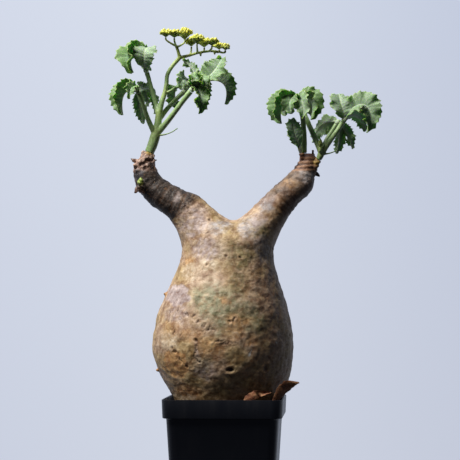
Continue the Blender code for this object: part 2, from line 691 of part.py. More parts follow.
def leaflet_sheet(hub, leaflet, seed):
    """The middle surface of a leaflet, as points and triangles. Its margin has a tooth on each step of its midrib."""
    guides = [Vector(point) for point in (hub, leaflet.rise, leaflet.crest, leaflet.tip)]
    length = sum((arch_point(guides, i / 8) - arch_point(guides, (i + 1) / 8)).length for i in range(8))
    teeth = max(4, round(length / TEETH_PITCH))
    chance = random.Random(seed)
    phase = chance.uniform(0, math.tau)
    way = arch_way(guides, 0)
    bend = guides[2] - guides[1]
    outward = (way * bend.dot(way) - bend).normalized()
    outward.rotate(Matrix.Rotation(math.radians(leaflet.roll), 3, way))

    frames = {}
    for step in range(2 * teeth + 1):
        s = step / (2 * teeth)
        new_way = arch_way(guides, s)
        outward.rotate(way.rotation_difference(new_way))
        way = new_way
        frames[step] = (s, arch_point(guides, s), way.copy(), outward.copy())

    def across(step, hand, part, extra=0.0, forward=0.0):
        """A point of the blade: part is 0 at the midrib and 1 at the margin."""
        s, middle, way, outward = frames[step]
        opening = leaflet.spread + (160 - leaflet.spread) * max(0, 1 - s / 0.25)
        turn = math.radians(opening / 2)
        side = way.cross(outward) * hand
        lean = side * math.sin(turn) + outward * math.cos(turn)
        rise = outward * math.sin(turn) - side * math.cos(turn)
        width = (blade_half_width(s, leaflet.half_width) + extra) * part
        wave = leaflet.ruffle * math.sin(s * math.tau * 2.5 + phase + hand) * part**2 * min(1, 4 * s)
        cup = 0.14 * leaflet.half_width * (part**2 - part) * math.sin(math.pi * s)
        return middle + lean * width + rise * (wave - cup) + way * forward

    points = [frames[2 * index][1] for index in range(teeth)]
    points.append(frames[2 * teeth][1])
    tip = teeth
    triangles = []
    for hand in (-1, 1):
        inner = []
        margin = []
        for index in range(teeth):
            inner.append(len(points))
            points.append(across(2 * index, hand, 0.52))
            margin.append(len(points))
            points.append(across(2 * index, hand, 1.0))
            margin.append(len(points))
            size = TOOTH * (0.5 if index in (0, teeth - 1) else 1) * chance.uniform(0.8, 1.15)
            points.append(across(2 * index + 1, hand, 1.0, size, size * 0.5))
        inner.append(tip)
        margin.append(tip)
        for index in range(teeth):
            strip = []
            low, high = index, index + 1
            strip.append((low, inner[index], inner[high]))
            if high < teeth:
                strip.append((low, inner[high], high))
            notch, peak, following = margin[2 * index: 2 * index + 3]
            strip.append((inner[index], notch, peak))
            strip.append((inner[index], peak, inner[high]))
            if high < teeth:
                strip.append((inner[high], peak, following))
            triangles += strip if hand > 0 else [tuple(reversed(t)) for t in strip]
    return points, triangles


def thickened(sheet, thickness):
    """A closed blade from a middle surface: both faces have the same triangles, and a rim joins them."""
    points, triangles = sheet
    normals = [Vector() for _ in points]
    for a, b, c in triangles:
        face = (points[b] - points[a]).cross(points[c] - points[a])
        for corner in (a, b, c):
            normals[corner] += face
    shift = len(points)
    upper = [point + normal.normalized() * thickness / 2 for point, normal in zip(points, normals)]
    lower = [point - normal.normalized() * thickness / 2 for point, normal in zip(points, normals)]
    faces = list(triangles)
    faces += [(c + shift, b + shift, a + shift) for a, b, c in triangles]
    edges = {(a, b) for t in triangles for a, b in ((t[0], t[1]), (t[1], t[2]), (t[2], t[0]))}
    for a, b in sorted(edges):
        if (b, a) not in edges:
            faces.append((b, a, a + shift))
            faces.append((b, a + shift, b + shift))
    return upper + lower, faces


def add_leaf(name, material, plant):
    """A palmate leaf: leaflets that meet in a small hub at the top of their stalk."""
    points, radius = LEAF_STALKS[name]
    route = smooth_route(points, 2)
    hub = Vector(points[-1])
    way = way_along(route)
    foot = hub - way * HUB_REACH
    if name == "right_leaf_5":
        foot = Vector(points[0]) + way * GAP
        radius = HUB_RADIUS * 0.7
    else:
        radius = HUB_RADIUS
    leaf = add_object(name, tube((foot, hub, hub + way * 1.6), (radius * 0.8, radius, radius * 0.7), 7), material, plant)
    blades = [
        thickened(leaflet_sheet(hub, leaflet, f"{name}{number}"), BLADE)
        for number, leaflet in enumerate(LEAVES[name])
    ]
    combine(leaf, blades, "UNION")
    return leaf


def add_head(name, material, plant):
    """A flower head: buds on short stalks that fan out from its foot into a low dome."""
    _, foot, radius, height, buds = HEADS[name]
    foot = Vector(foot)
    chance = random.Random(name)
    core = foot + Vector((0, 0, HEAD_CORE[2]))
    head = add_object(name, ball(core, HEAD_CORE), material, plant)
    parts = []
    for index in range(buds):
        reach = radius * math.sqrt((index + 0.3) / buds)
        turn = index * math.radians(137.5)
        lift = height * (1.15 - 0.6 * (reach / radius) ** 2) + chance.uniform(-0.4, 0.4) + 1.2
        place = foot + Vector((math.cos(turn) * reach, math.sin(turn) * reach, lift))
        root = core + Vector((math.cos(turn), math.sin(turn), 0)) * min(1.1, reach * 0.5)
        parts.append(tube((root, place), (PEDICEL_RADIUS, PEDICEL_RADIUS), 3))
        size = BUD_RADIUS * chance.uniform(0.85, 1.15)
        parts.append(bud_shape(place, size, size * 2.4))
    combine(head, parts, "UNION")
    return head


def add_bud(name, seat_and_tip, radius, material, plant):
    """A small pointed leaf bud that stands on its seat."""
    foot, tip = [Vector(point) for point in raised(seat_and_tip)]
    route = [foot, foot.lerp(tip, 0.35), foot.lerp(tip, 0.7), tip]
    return add_object(name, tube(route, (radius * 0.6, radius, radius * 0.8, radius * 0.2), 7), material, plant)


def add_scrap(name, material):
    """A shed papery scrap: a thin curled sheet."""
    spine, half_widths, lean = SCRAPS[name]
    spine = [Vector(point) for point in spine]
    lean = Vector(lean)
    points = []
    for centre, half in zip(spine, half_widths):
        for part in (-1.0, 0.0, 1.0):
            lift = Vector((0, 0, 0.6)) if part else Vector()
            points.append(centre + lean * (half * part) + lift)
    triangles = []
    for row in range(len(spine) - 1):
        for column in range(2):
            corner = row * 3 + column
            triangles.append((corner, corner + 1, corner + 4))
            triangles.append((corner, corner + 4, corner + 3))
    return add_object(name, thickened((points, triangles), BLADE), material)


def build():
    clear_scene()
    black = finish("black plastic", (0.012, 0.013, 0.016), 0.42)
    grit = finish("soil", (0.085, 0.062, 0.045), 0.95)
    bark = finish("bark", (0.36, 0.24, 0.13), 0.72)
    stem_green = finish("stem green", (0.20, 0.33, 0.12), 0.5)
    leaf_green = finish("leaf green", (0.13, 0.27, 0.11), 0.55)
    flower_yellow = finish("flower yellow", (0.62, 0.58, 0.07), 0.6)
    bud_green = finish("bud green", (0.42, 0.47, 0.10), 0.55)
    papery = finish("dry papery brown", (0.30, 0.13, 0.06), 0.8)

    plant = bpy.data.objects.new("plant", None)
    plant.rotation_euler.z = PLANT_TURN
    bpy.context.scene.collection.objects.link(plant)
    bpy.context.view_layer.update()

    add_pot(black)
    root = add_caudex(bark, plant)
    add_soil(grit, root)
    add_left_stem(stem_green, plant)
    add_right_stem(stem_green, plant)
    add_single_stalk(stem_green, plant)
    for leaf in LEAVES:
        add_leaf(leaf, leaf_green, plant)
    for head in HEADS:
        add_head(head, flower_yellow, plant)
    add_bud("left_bud", LEFT_BUD, LEFT_BUD_RADIUS, bud_green, plant)
    add_bud("right_bud", RIGHT_BUD, RIGHT_BUD_RADIUS, bud_green, plant)
    for scrap in SCRAPS:
        add_scrap(scrap, papery)


build()
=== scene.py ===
import math
import random
from collections import namedtuple

import bmesh
import bpy
from mathutils import Euler, Matrix, Vector, kdtree, noise


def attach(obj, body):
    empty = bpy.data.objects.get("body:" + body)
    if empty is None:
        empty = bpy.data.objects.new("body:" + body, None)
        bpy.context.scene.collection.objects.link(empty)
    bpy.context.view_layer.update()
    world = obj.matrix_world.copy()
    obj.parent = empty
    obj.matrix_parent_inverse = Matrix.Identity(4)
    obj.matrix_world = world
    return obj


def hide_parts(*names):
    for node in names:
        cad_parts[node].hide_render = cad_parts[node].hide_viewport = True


# The finished look of a potted cyphostemma: caudex with its bark, green shoots, toothed leaves, flower cyme, soil
# and pot. Sizes are in millimetres and become metres when a piece is placed. The plant's pieces are worked out in
# the plant's own x, y and z, which stand turned a little in the pot, and the pot's pieces in the pot's own.
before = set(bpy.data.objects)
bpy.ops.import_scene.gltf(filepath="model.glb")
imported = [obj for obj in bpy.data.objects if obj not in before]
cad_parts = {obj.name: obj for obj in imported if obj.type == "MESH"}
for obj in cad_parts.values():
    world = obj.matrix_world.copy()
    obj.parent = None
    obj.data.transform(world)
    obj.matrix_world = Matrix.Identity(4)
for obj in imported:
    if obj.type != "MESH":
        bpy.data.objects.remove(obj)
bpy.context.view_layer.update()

MM = 0.001
PLANT_TURN = math.radians(3.7)
PLANT_PLACE = Matrix.Rotation(PLANT_TURN, 4, "Z") @ Matrix.Scale(MM, 4)
POT_PLACE = Matrix.Scale(MM, 4)
GAP = 0.3
SHARP_ANGLE = math.radians(45)

POT_HEIGHT = 95.0
POT_RIM_HALF = 45.0
POT_BASE_HALF = 37.0
POT_WALL = 1.2
POT_FLOOR = 1.6
POT_BAND = 14.0
POT_NECK_HALF = 41.8
BAND_FOOT = POT_HEIGHT - POT_BAND
POT_CORNER = 8.5
CORNER_POINTS = 14
DRAIN_RADIUS = 3.2
DRAIN_REACH = 24.0

SOIL_TOP = 88.0
SOIL_SHEET_STEPS = 60
GRAIN_SIZE = 1.7
GRAIN_DENSITY = 0.32

BODY_POINTS = 16
ARM_POINTS = 12
SPLIT_Z = 222.0
BARK_VOXEL = 0.78
STEM_VOXEL = 0.42

TEETH_PITCH = 2.4
TOOTH = 1.35
ROWS_PER_TOOTH = 5
CRINKLE_LENGTH = 6.4
FRILL_LENGTH = 3.3
LEAFSTALK_BASE = 1.3
COLLAR_NECK = 2.5
HUB_REACH = 2.4
HUB_RADIUS = 2.3

# Height, centre x, half width and half depth of the trunk, from the root end to below the fork.
TRUNK = (
    (48.0, 0.0, 11.0, 11.0),
    (68.0, 0.4, 28.0, 26.5),
    (93.0, 1.1, 39.0, 36.6),
    (106.0, 0.8, 47.4, 43.6),
    (124.0, -1.7, 53.4, 49.0),
    (142.0, -2.1, 53.5, 49.3),
    (160.0, -1.6, 49.6, 46.0),
    (178.0, -0.1, 42.8, 40.2),
    (195.0, 0.9, 36.2, 34.0),
    (206.0, 1.5, 34.2, 31.0),
    (214.0, 2.4, 36.2, 28.8),
)
SPLIT_RING = (2.1, 39.5, 25.5)
FORK_SADDLE = ((4.5, -14.0, 223.5), (5.7, 0.0, 227.6), (4.5, 14.0, 223.5))
FORK_DROP = 5.0

# The two sides of each arm, from the fork to the crown: x and z of the inner one, then of the outer one.
LEFT_ARM = (
    (-11.0, 238.6, -38.0, 223.6),
    (-20.6, 249.0, -43.3, 232.5),
    (-33.0, 252.4, -51.0, 237.3),
    (-45.5, 259.0, -60.9, 244.2),
    (-52.0, 265.0, -69.2, 256.0),
    (-53.0, 270.0, -70.8, 268.5),
    (-55.6, 277.0, -68.4, 277.0),
)
RIGHT_ARM = (
    (15.2, 234.0, 43.6, 225.6),
    (28.0, 246.6, 49.6, 235.0),
    (38.3, 257.0, 58.0, 245.2),
    (47.6, 264.2, 68.2, 252.6),
    (52.4, 269.6, 67.2, 263.0),
    (56.8, 274.5, 69.4, 272.4),
    (57.7, 281.0, 69.5, 280.2),
)

LEFT_STEM = ((-58.5, 0, 281), (-56, 0, 287), (-54, 0, 293.5), (-52.5, 0, 299), (-51.5, 0, 306), (-51, 0, 313))
LEFT_STEM_RADII = (3.6, 3.9, 3.9, 3.2, 2.7, 2.4)
PEDUNCLE = (
    (-51, 0, 311),
    (-49, 0, 319.5),
    (-46.6, 0, 327),
    (-45.3, 0, 334),
    (-44.6, 0, 341),
    (-41.0, 0, 347.5),
    (-35, 0, 354.5),
)
PEDUNCLE_RADII = (2.4, 2.1, 1.8, 1.7, 1.6, 1.5, 1.7)
CYME_LEFT = ((-35, 0, 354), (-36.5, -1, 359.5), (-38, -2, 363.5))
CYME_RIGHT = ((-36, 0, 354), (-28, 2, 356.3), (-20.5, 3, 358.6), (-11, 3, 359.8), (-4.2, 2, 359.0))
TENDRIL_LEFT = ((-52.5, -1, 294.5), (-47.0, -3, 294.8), (-41.5, -4, 296.5), (-36.5, -5, 299.5))
BRACT = ((-47.5, 0, 326.5), (-42.5, -1, 328.5), (-39, -2, 331))
HANGING_BUDS = (((-19.1, 3, 358.8), (-19.1, 2.2, 356.8), (-19.0, 2.0, 355.6)),
                ((-8.6, 3, 359.8), (-8.4, 2.2, 357.8), (-8.3, 2.0, 356.8)))

RIGHT_STEM = ((70.8, -4.6, 275.5), (72.4, -5.2, 278.8), (73.4, -5.2, 283))
RIGHT_STEM_RADII = (2.2, 2.6, 2.3)
TENDRIL_RIGHT = ((74.5, -5.5, 279.5), (80, -6.5, 280.5), (85, -8, 282.5))

# Each leaf: the route of its stalk up to the hub where the leaflets meet, and the radius of the stalk.
LEAF_STALKS = {
    "left_leaf_1": (((-53.5, 0, 295), (-57, -2, 301.5), (-60.5, -4, 310), (-63.5, -5, 319), (-66.5, -5, 327.5)), 1.9),
    "left_leaf_2": (((-51.3, 0, 311), (-53.5, 2, 319.5), (-57, 4, 331), (-59.5, 5, 340), (-61.5, 5, 346)), 1.8),
    "left_leaf_3": (((-51, 1, 307), (-44.5, 5, 316), (-38, 9, 323.5), (-31.5, 11, 330)), 1.8),
    "left_leaf_4": (((-52.5, 0, 296), (-45.5, -3, 303.5), (-38.5, -7, 312), (-31.5, -10, 321), (-25, -11, 329)), 2.1),
    "right_leaf_1": (((59.5, 0, 281), (60, -2, 290), (59.5, -4, 300), (58.5, -6, 310), (56, -7, 320.5)), 2.1),
    "right_leaf_2": (((72.8, -4.6, 282), (68, -1.5, 293), (63, 2, 305), (59, 5, 315.5), (57, 6, 322.5)), 2.0),
    "right_leaf_3": (((73.2, -5.5, 280.5), (79, -6.5, 289), (85.5, -7, 298), (90.5, -7, 306)), 2.0),
    "right_leaf_4": (((73.2, -4.6, 281.5), (77, -0.5, 290.5), (82.5, 3, 299.5), (86.5, 4, 305.5)), 1.7),
    "right_leaf_5": (((57.4, -5.2, 280.6), (56.2, -6.2, 284.5)), 1.5),
}

# A leaflet arches from the hub through two guide points to its tip. half_width is from the midrib to the margin.
# spread is the angle between its halves: 180 is flat, less is a trough open to the outside of the arch, and more
# is a ridge. roll turns the blade about its midrib, and ruffle is how far its margin waves. tone is how deep its
# green is: 0 is pale and waxy, and 1 is dark.
Leaflet = namedtuple("Leaflet", "rise crest tip half_width spread roll ruffle tone", defaults=(0.8, 0.5))
LEAVES = {
    "left_leaf_1": (
        Leaflet((-74, -7, 332.5), (-82, -10, 327.5), (-78, -13, 308.5), 9.8, 62, 0, 0.8, 0.6),
        Leaflet((-69.5, -13, 331.5), (-74, -17, 330), (-72.5, -17, 320.5), 5.0, 90, 0, 1.2, 0.4),
        Leaflet((-67, -1, 325), (-65.5, 3, 316), (-63, 4, 303.5), 4.6, 150, 0, 0.8, 0.15),
        Leaflet((-66.5, 6, 334), (-59.5, 12, 335), (-60, 14, 318), 5.2, 80, 0, 1.1, 0.2),
        Leaflet((-63, 13, 333), (-50.5, 22, 336), (-55, 23, 313), 5.0, 112, 10, 0.9, 0.35),
    ),
    "left_leaf_2": (
        Leaflet((-64, 6, 358), (-78.5, 1, 360), (-70.5, -5, 342), 13.0, 66, 0, 1.5, 0.5),
        Leaflet((-64, -7, 352), (-61.5, -9, 362.5), (-58.5, 3, 362), 9.0, 160, 0, 0.9, 0.15),
        Leaflet((-59.5, 17, 353), (-61, 29, 360), (-66, 40, 352), 6.6, 150, 0),
    ),
    "left_leaf_3": (
        Leaflet((-28.5, 6, 338), (-33.5, 1, 342), (-35.5, -5, 331), 6.4, 150, 0, 1.0, 0.15),
        Leaflet((-37, 15, 338), (-44, 22, 334), (-37, 22, 316), 8.0, 135, -20, 1.5, 0.3),
        Leaflet((-26, 24, 342), (-17, 34, 340), (-16.5, 36, 322), 8.5, 120, 0),
    ),
    "left_leaf_4": (
        Leaflet((-19.5, -9, 338), (-24, -6, 346), (-33.0, -5, 352), 3.8, 120, 60, 1.3, 0.25),
        Leaflet((-14, -16, 334), (-4, -18, 345), (-3, -12, 352.5), 9.5, 140, -85, 1.6, 0.35),
        Leaflet((-17, -6, 339), (7.5, -8, 342), (-0.3, -9, 317), 9.0, 68, 0, 1.0, 0.6),
        Leaflet((-21, -17, 330), (-17.5, -21, 323), (-20, -20, 308.5), 7.2, 105, 0, 1.3, 0.55),
        Leaflet((-25, -17, 336), (-22.5, -22, 340), (-19.5, -22, 332), 4.8, 110, 0, 1.3, 0.45),
        Leaflet((-20, -17, 335), (-14, -21, 337), (-14.5, -20, 327), 5.0, 100, 0, 1.3, 0.35),
    ),
    "right_leaf_1": (
        Leaflet((47.5, -10, 323.5), (38.5, -12, 317.5), (42.3, -13, 302), 11.2, 64, 0, 0.8, 0.85),
        Leaflet((50.5, -12, 326), (46.5, -17, 319), (50, -17, 309), 7.0, 115, -20, 1.0, 0.4),
        Leaflet((56, -15, 322.5), (60.5, -20, 320), (58.8, -19, 305), 7.2, 125, 0, 1.2, 0.25),
    ),
    "right_leaf_2": (
        Leaflet((60, 4, 327), (71.5, 4, 325.5), (65.5, 2, 306.5), 9.2, 72, 0, 1.0, 0.85),
        Leaflet((52, 14, 328.5), (45, 24, 326), (46.5, 26, 312), 8.0, 120, 0),
        Leaflet((61, 18, 328), (70, 32, 327), (68, 38, 312), 8.0, 110, 0),
    ),
    "right_leaf_3": (
        Leaflet((89.5, -10, 313), (86.5, -8, 321), (86.5, -1, 326), 9.0, 152, 0, 0.8, 0.15),
        Leaflet((98, -8, 321.5), (116, -9, 323), (107, -12, 295), 10.6, 116, 50, 1.6, 0.3),
        Leaflet((97, 8, 313), (105.5, 20, 315), (109, 26, 300), 7.6, 110, 0),
    ),
    "right_leaf_4": (
        Leaflet((80, 13, 306), (70.5, 19, 308), (67.5, 20, 290.5), 7.4, 140, -10, 1.1, 0.4),
        Leaflet((91, 9.5, 302), (96, 12, 296), (98, 13, 285), 4.6, 110, 15, 1.0, 0.7),
        Leaflet((88, 12.5, 302.5), (90, 16, 292), (85.3, 16, 281.8), 4.8, 120, 15, 1.0, 0.55),
    ),
    "right_leaf_5": (Leaflet((54, -10.5, 291), (48.5, -10.5, 300), (52.5, -9, 307), 6.2, 150, 0, 0.8, 0.0),),
}

# Each flower head: where its stalk leaves the cyme, the foot of the head, its radius, its height and its buds.
HEADS = {
    "flower_head_1": ((-38, -2, 363), (-45.6, -4, 369.6), 4.6, 3.0, 34),
    "flower_head_2": ((-38, -2, 363), (-39.0, -9.4, 368.4), 5.4, 3.2, 42),
    "flower_head_3": ((-37.5, -2, 362), (-31.5, 5, 369.0), 5.2, 5.6, 46),
    "flower_head_4": ((-21.5, 3, 358.4), (-21.8, -5, 364.4), 5.4, 4.0, 44),
    "flower_head_5": ((-18, 3, 359), (-16.5, 8, 363.6), 5.4, 4.0, 42),
    "flower_head_6": ((-12.5, 3, 359.8), (-10.5, -5, 363.0), 5.2, 3.0, 38),
    "flower_head_7": ((-8, 3, 359.6), (-4.9, 8.5, 362.0), 4.6, 2.4, 32),
    "flower_head_8": ((-5.5, 2.4, 359.3), (-0.3, 0.4, 360.4), 3.4, 1.5, 22),
    "flower_head_9": ((-27, 2, 357), (-26.5, 12.5, 365.0), 4.8, 3.6, 34),
}

# Each axil bud: its seat, its tip and its radius.
LEFT_BUD = ((-64.8, -11.6, 255.2), (-63.8, -13.0, 261.4))
LEFT_BUD_RADIUS = 2.4
RIGHT_BUD = ((72.0, -9.0, 284.6), (72.2, -9.9, 291.3))
RIGHT_BUD_RADIUS = 1.7
KNOT_HOLE = (3.6, 117.0)

# Each shed scrap on the soil: its spine, half its width along that, and the way in which its width runs.
SCRAPS = {
    "dry_scrap_1": (((38.0, -30.0, 91.4), (43.0, -27.0, 99.0), (49.0, -23.5, 104.6), (57.0, -19.5, 106.4)),
                    (1.6, 4.6, 5.0, 0.6), (0.42, 0.6, -0.68)),
    "dry_scrap_2": (((16.5, -40.8, 89.3), (20.0, -41.6, 95.2), (27.0, -42.0, 99.6), (36.0, -41.4, 100.8)),
                    (2.4, 3.8, 3.4, 0.6), (0.75, 0.0, -0.66)),
}

# The kinds of bark, each with the colour of its dark grain and of its light grain.
BARK = {
    "tan": ((0.27, 0.155, 0.072), (0.62, 0.455, 0.27)),
    "pink": ((0.32, 0.195, 0.135), (0.64, 0.475, 0.36)),
    "ochre": ((0.27, 0.17, 0.060), (0.55, 0.41, 0.20)),
    "lilac": ((0.32, 0.24, 0.225), (0.64, 0.54, 0.51)),
    "grey": ((0.26, 0.235, 0.23), (0.60, 0.57, 0.57)),
    "pale": ((0.48, 0.36, 0.22), (0.80, 0.68, 0.51)),
    "green": ((0.14, 0.14, 0.060), (0.44, 0.43, 0.27)),
    "olive": ((0.09, 0.072, 0.028), (0.30, 0.25, 0.11)),
    "orange": ((0.33, 0.155, 0.052), (0.70, 0.42, 0.18)),
    # Dark brown, laid on the shaded right side: partly the bark's own colour, partly painted shade.
    "brown": ((0.07, 0.036, 0.020), (0.22, 0.125, 0.075)),
    "white": ((0.85, 0.82, 0.76), (0.90, 0.88, 0.84)),
    # The left arm's bark: partly its own dark grey-brown, partly painted shade for a front that faces away from the
    # lamp.
    "arm": ((0.014, 0.0105, 0.0085), (0.066, 0.048, 0.038)),
    "bough": ((0.055, 0.036, 0.026), (0.27, 0.19, 0.145)),
    "crown": ((0.09, 0.030, 0.022), (0.74, 0.53, 0.41)),
    "rust": ((0.085, 0.032, 0.018), (0.50, 0.27, 0.15)),
    "fresh": ((0.30, 0.17, 0.035), (0.66, 0.46, 0.13)),
    "scar": ((0.020, 0.020, 0.026), (0.06, 0.058, 0.070)),
    "cut": ((0.035, 0.012, 0.011), (0.16, 0.055, 0.045)),
    "tip": ((0.020, 0.012, 0.009), (0.09, 0.05, 0.035)),
}

# Patches of the bark: kind, x and z of the middle as seen from the front, half width, half height and strength.
# Those called cracks carry no colour but fine cracks. A few are painted highlight, painted reflection and painted
# shade, as marked.
PATCHES = (
    # Partly painted shade: dark brown over the trunk's shaded right side.
    ("brown", 33.0, 180.0, 13.0, 34.0, 0.65),
    ("brown", 34.0, 128.0, 15.0, 30.0, 0.5),
    ("olive", -12.0, 106.0, 24.0, 12.0, 0.35),
    ("lilac", -25.0, 227.0, 12.0, 14.0, 0.9),
    ("lilac", -14.4, 205.7, 12.0, 11.0, 0.9),
    # Painted highlight: a small orange-tan spot on the lit left side.
    ("orange", -28.0, 198.7, 4.0, 2.6, 0.9),
    ("orange", -20.0, 216.0, 6.0, 2.2, 0.5),
    ("pale", -12.2, 194.6, 8.0, 4.0, 0.9),
    ("pale", -3.0, 206.0, 5.0, 9.0, 0.6),
    ("olive", 9.2, 202.0, 12.5, 11.0, 0.75),
    ("olive", 13.7, 198.3, 7.0, 7.0, 0.8),
    ("olive", 10.0, 180.5, 8.0, 9.5, 0.7),
    ("pale", -25.2, 189.0, 7.0, 7.0, 0.9),
    ("pale", -11.0, 182.0, 7.0, 6.0, 0.6),
    # Painted highlight: grey-cream on the fork's top.
    ("grey", -3.3, 223.0, 9.5, 6.0, 0.9),
    ("ochre", 5.2, 219.5, 6.5, 5.0, 0.9),
    ("grey", 17.4, 223.0, 8.5, 10.0, 0.85),
    ("olive", 27.0, 221.0, 6.0, 7.0, 0.9),
    # Painted reflection: the bright backdrop's bluish-grey sheen on the shaded right side.
    ("grey", 27.0, 207.0, 6.0, 11.0, 0.5),
    ("green", -9.0, 168.7, 20.0, 12.0, 0.9),
    ("green", -4.0, 154.0, 18.0, 13.0, 0.9),
    ("green", 20.0, 152.0, 12.0, 9.0, 0.7),
    ("orange", 10.7, 155.5, 11.0, 6.0, 0.75),
    ("orange", -1.1, 168.3, 4.6, 3.8, 0.85),
    ("lilac", -35.2, 171.7, 9.5, 8.5, 1.0),
    ("lilac", -36.3, 158.0, 10.0, 7.0, 0.7),
    ("orange", 5.9, 146.5, 8.5, 9.0, 0.7),
    ("pink", -20.0, 149.0, 14.0, 9.0, 0.7),
    ("pale", -41.8, 138.0, 7.5, 7.0, 0.9),
    ("orange", -12.6, 132.8, 11.0, 9.0, 0.75),
    ("orange", -37.0, 121.7, 9.5, 10.7, 1.0),
    ("orange", 19.2, 139.0, 5.5, 4.2, 0.8),
    ("lilac", -15.2, 117.0, 8.5, 7.5, 0.7),
    ("lilac", -21.0, 130.0, 2.2, 8.0, 0.6),
    ("orange", -27.4, 101.0, 13.0, 5.0, 0.8),
    ("pale", -31.0, 96.5, 9.0, 2.4, 0.8),
    ("white", 17.4, 128.7, 1.2, 1.2, 1.0),
    ("white", 38.0, 137.6, 0.9, 0.9, 1.0),
    ("lilac", -36.6, 246.0, 3.0, 5.0, 0.5),
    ("lilac", 24.0, 229.0, 7.0, 8.0, 0.8),
    ("lilac", 33.0, 243.0, 8.0, 7.0, 0.7),
    ("grey", 31.0, 239.0, 7.0, 5.0, 0.8),
    ("orange", 41.0, 240.0, 5.5, 9.0, 0.7),
    # Partly painted shade: dark brown on the right arm's shaded lower side.
    ("brown", 47.0, 246.0, 9.0, 12.0, 0.7),
    ("orange", 48.5, 257.0, 5.0, 5.0, 0.6),
    ("grey", 60.5, 262.5, 5.0, 6.5, 0.85),
    ("orange", -24.0, 143.0, 10.0, 5.0, 0.7),
    ("orange", -40.0, 147.0, 7.0, 6.0, 0.5),
    ("green", 14.0, 162.0, 12.0, 7.0, 0.7),
    ("green", -16.0, 124.0, 9.0, 5.0, 0.4),
    ("cracks", -35.0, 152.0, 15.0, 12.0, 0.6),
    ("cracks", -13.0, 149.0, 9.0, 6.0, 0.8),
    ("cracks", 8.0, 150.0, 7.0, 5.0, 0.5),
)
PEELED = 0.95
COLLAR_RING_PITCH = 3.1

# Marks in the bark: x and z of the middle as seen from the front, half length, half width, angle and depth.
MARKS = (
    (-41.6, 159.0, 2.4, 0.5, 80, 0.6),
    (-35.4, 160.0, 2.2, 0.5, 95, 0.6),
    (-42.9, 152.5, 1.2, 0.6, 60, 0.6),
    (-38.2, 144.5, 2.2, 0.5, 60, 0.7),
    (-33.0, 142.6, 2.0, 0.5, 80, 0.6),
    (-27.8, 157.5, 2.6, 0.5, -45, 0.6),
    (-23.0, 156.0, 2.8, 0.7, 55, 0.7),
    (-19.8, 152.6, 1.2, 0.6, 20, 0.6),
    (-16.8, 148.6, 2.2, 0.5, 70, 0.6),
    (-14.4, 150.4, 2.2, 0.5, 50, 0.7),
    (-12.4, 148.0, 2.4, 0.6, 60, 0.8),
    (-9.0, 147.0, 2.8, 0.5, -40, 0.6),
    (-4.0, 138.4, 6.5, 0.5, 0, 0.5),
    (1.6, 137.0, 5.0, 0.5, 2, 0.5),
    (-21.4, 138.2, 2.2, 0.8, -35, 0.8),
    (-22.4, 130.0, 4.2, 0.5, 75, 0.6),
    (-19.8, 123.8, 2.4, 0.5, -35, 0.6),
    (-39.4, 132.6, 1.4, 0.7, 60, 0.7),
    (-37.4, 131.0, 1.8, 0.7, 10, 0.8),
    (-33.4, 124.4, 1.8, 0.6, -70, 0.7),
    (-28.6, 118.6, 1.8, 0.6, 85, 0.6),
    (6.4, 154.2, 2.2, 0.7, 70, 0.7),
    (4.0, 152.8, 1.4, 0.7, 20, 0.6),
    (0.4, 201.0, 0.9, 0.7, 30, 0.8),
    (-13.5, 194.4, 1.0, 0.8, 60, 0.8),
    (-13.7, 219.0, 1.8, 0.5, 20, 0.6),
    (11.0, 199.8, 1.1, 0.7, 0, 0.6),
    (-31.4, 195.0, 0.8, 0.7, 0, 0.6),
    (-12.0, 229.0, 1.0, 0.7, 0, 0.7),
    (-24.2, 247.5, 1.2, 0.8, 40, 0.7),
    (-29.0, 239.0, 6.0, 0.6, -65, 0.5),
    (29.8, 118.6, 2.0, 1.4, 90, 0.6),
)

# Flakes that stand out at the sides: their place and size.
FLAKES = ((-45.0, -5.0, 173.4, 1.9), (-51.2, -6.0, 115.6, 1.5), (-49.2, -12.0, 152.0, 1.0), (50.6, -8.0, 131.0, 1.0))

# Parts of the crowns with a colour of their own: kind, place, and how far it reaches.
CROWN_MARKS = (
    ("fresh", -58.5, -4.0, 281.8, 3.0),
    ("fresh", -60.5, 2.0, 281.8, 3.0),
    ("scar", -66.6, -7.0, 263.6, 5.0),
    ("tip", -57.5, -7.0, 272.5, 2.6),
    ("tip", -52.4, -3.0, 275.8, 2.4),
    ("tip", -72.6, -1.0, 277.0, 1.8),
    ("crown", -66.0, -8.0, 251.5, 4.6),
    ("cut", 62.0, -4.0, 279.6, 3.0),
    ("cut", 66.5, -4.0, 279.6, 3.0),
    ("cut", 64.0, 3.0, 280.0, 4.4),
    ("fresh", 69.5, -5.0, 273.5, 3.0),
    ("tip", 72.4, 1.5, 263.0, 4.8),
    ("tip", 53.2, -1.0, 271.4, 3.8),
)


def linked(thing):
    bpy.context.scene.collection.objects.link(thing)
    return thing


def evaluated_mesh(thing):
    """The plain mesh that an object's modifiers make."""
    graph = bpy.context.evaluated_depsgraph_get()
    graph.update()
    return bpy.data.meshes.new_from_object(thing.evaluated_get(graph))


def mesh_of(name, shape):
    """A mesh in millimetres with its faces pointing out."""
    points, faces = shape
    mesh = bpy.data.meshes.new(name)
    mesh.from_pydata([Vector(point) for point in points], [], faces)
    work = bmesh.new()
    work.from_mesh(mesh)
    bmesh.ops.recalc_face_normals(work, faces=work.faces)
    work.to_mesh(mesh)
    work.free()
    return mesh


def together(shapes):
    """Several shapes as one list of points and one of faces."""
    points = []
    faces = []
    for some_points, some_faces in shapes:
        start = len(points)
        points.extend(some_points)
        faces.extend(tuple(corner + start for corner in face) for face in some_faces)
    return points, faces


def shape_of(mesh):
    return [vert.co.copy() for vert in mesh.vertices], [tuple(face.vertices) for face in mesh.polygons]


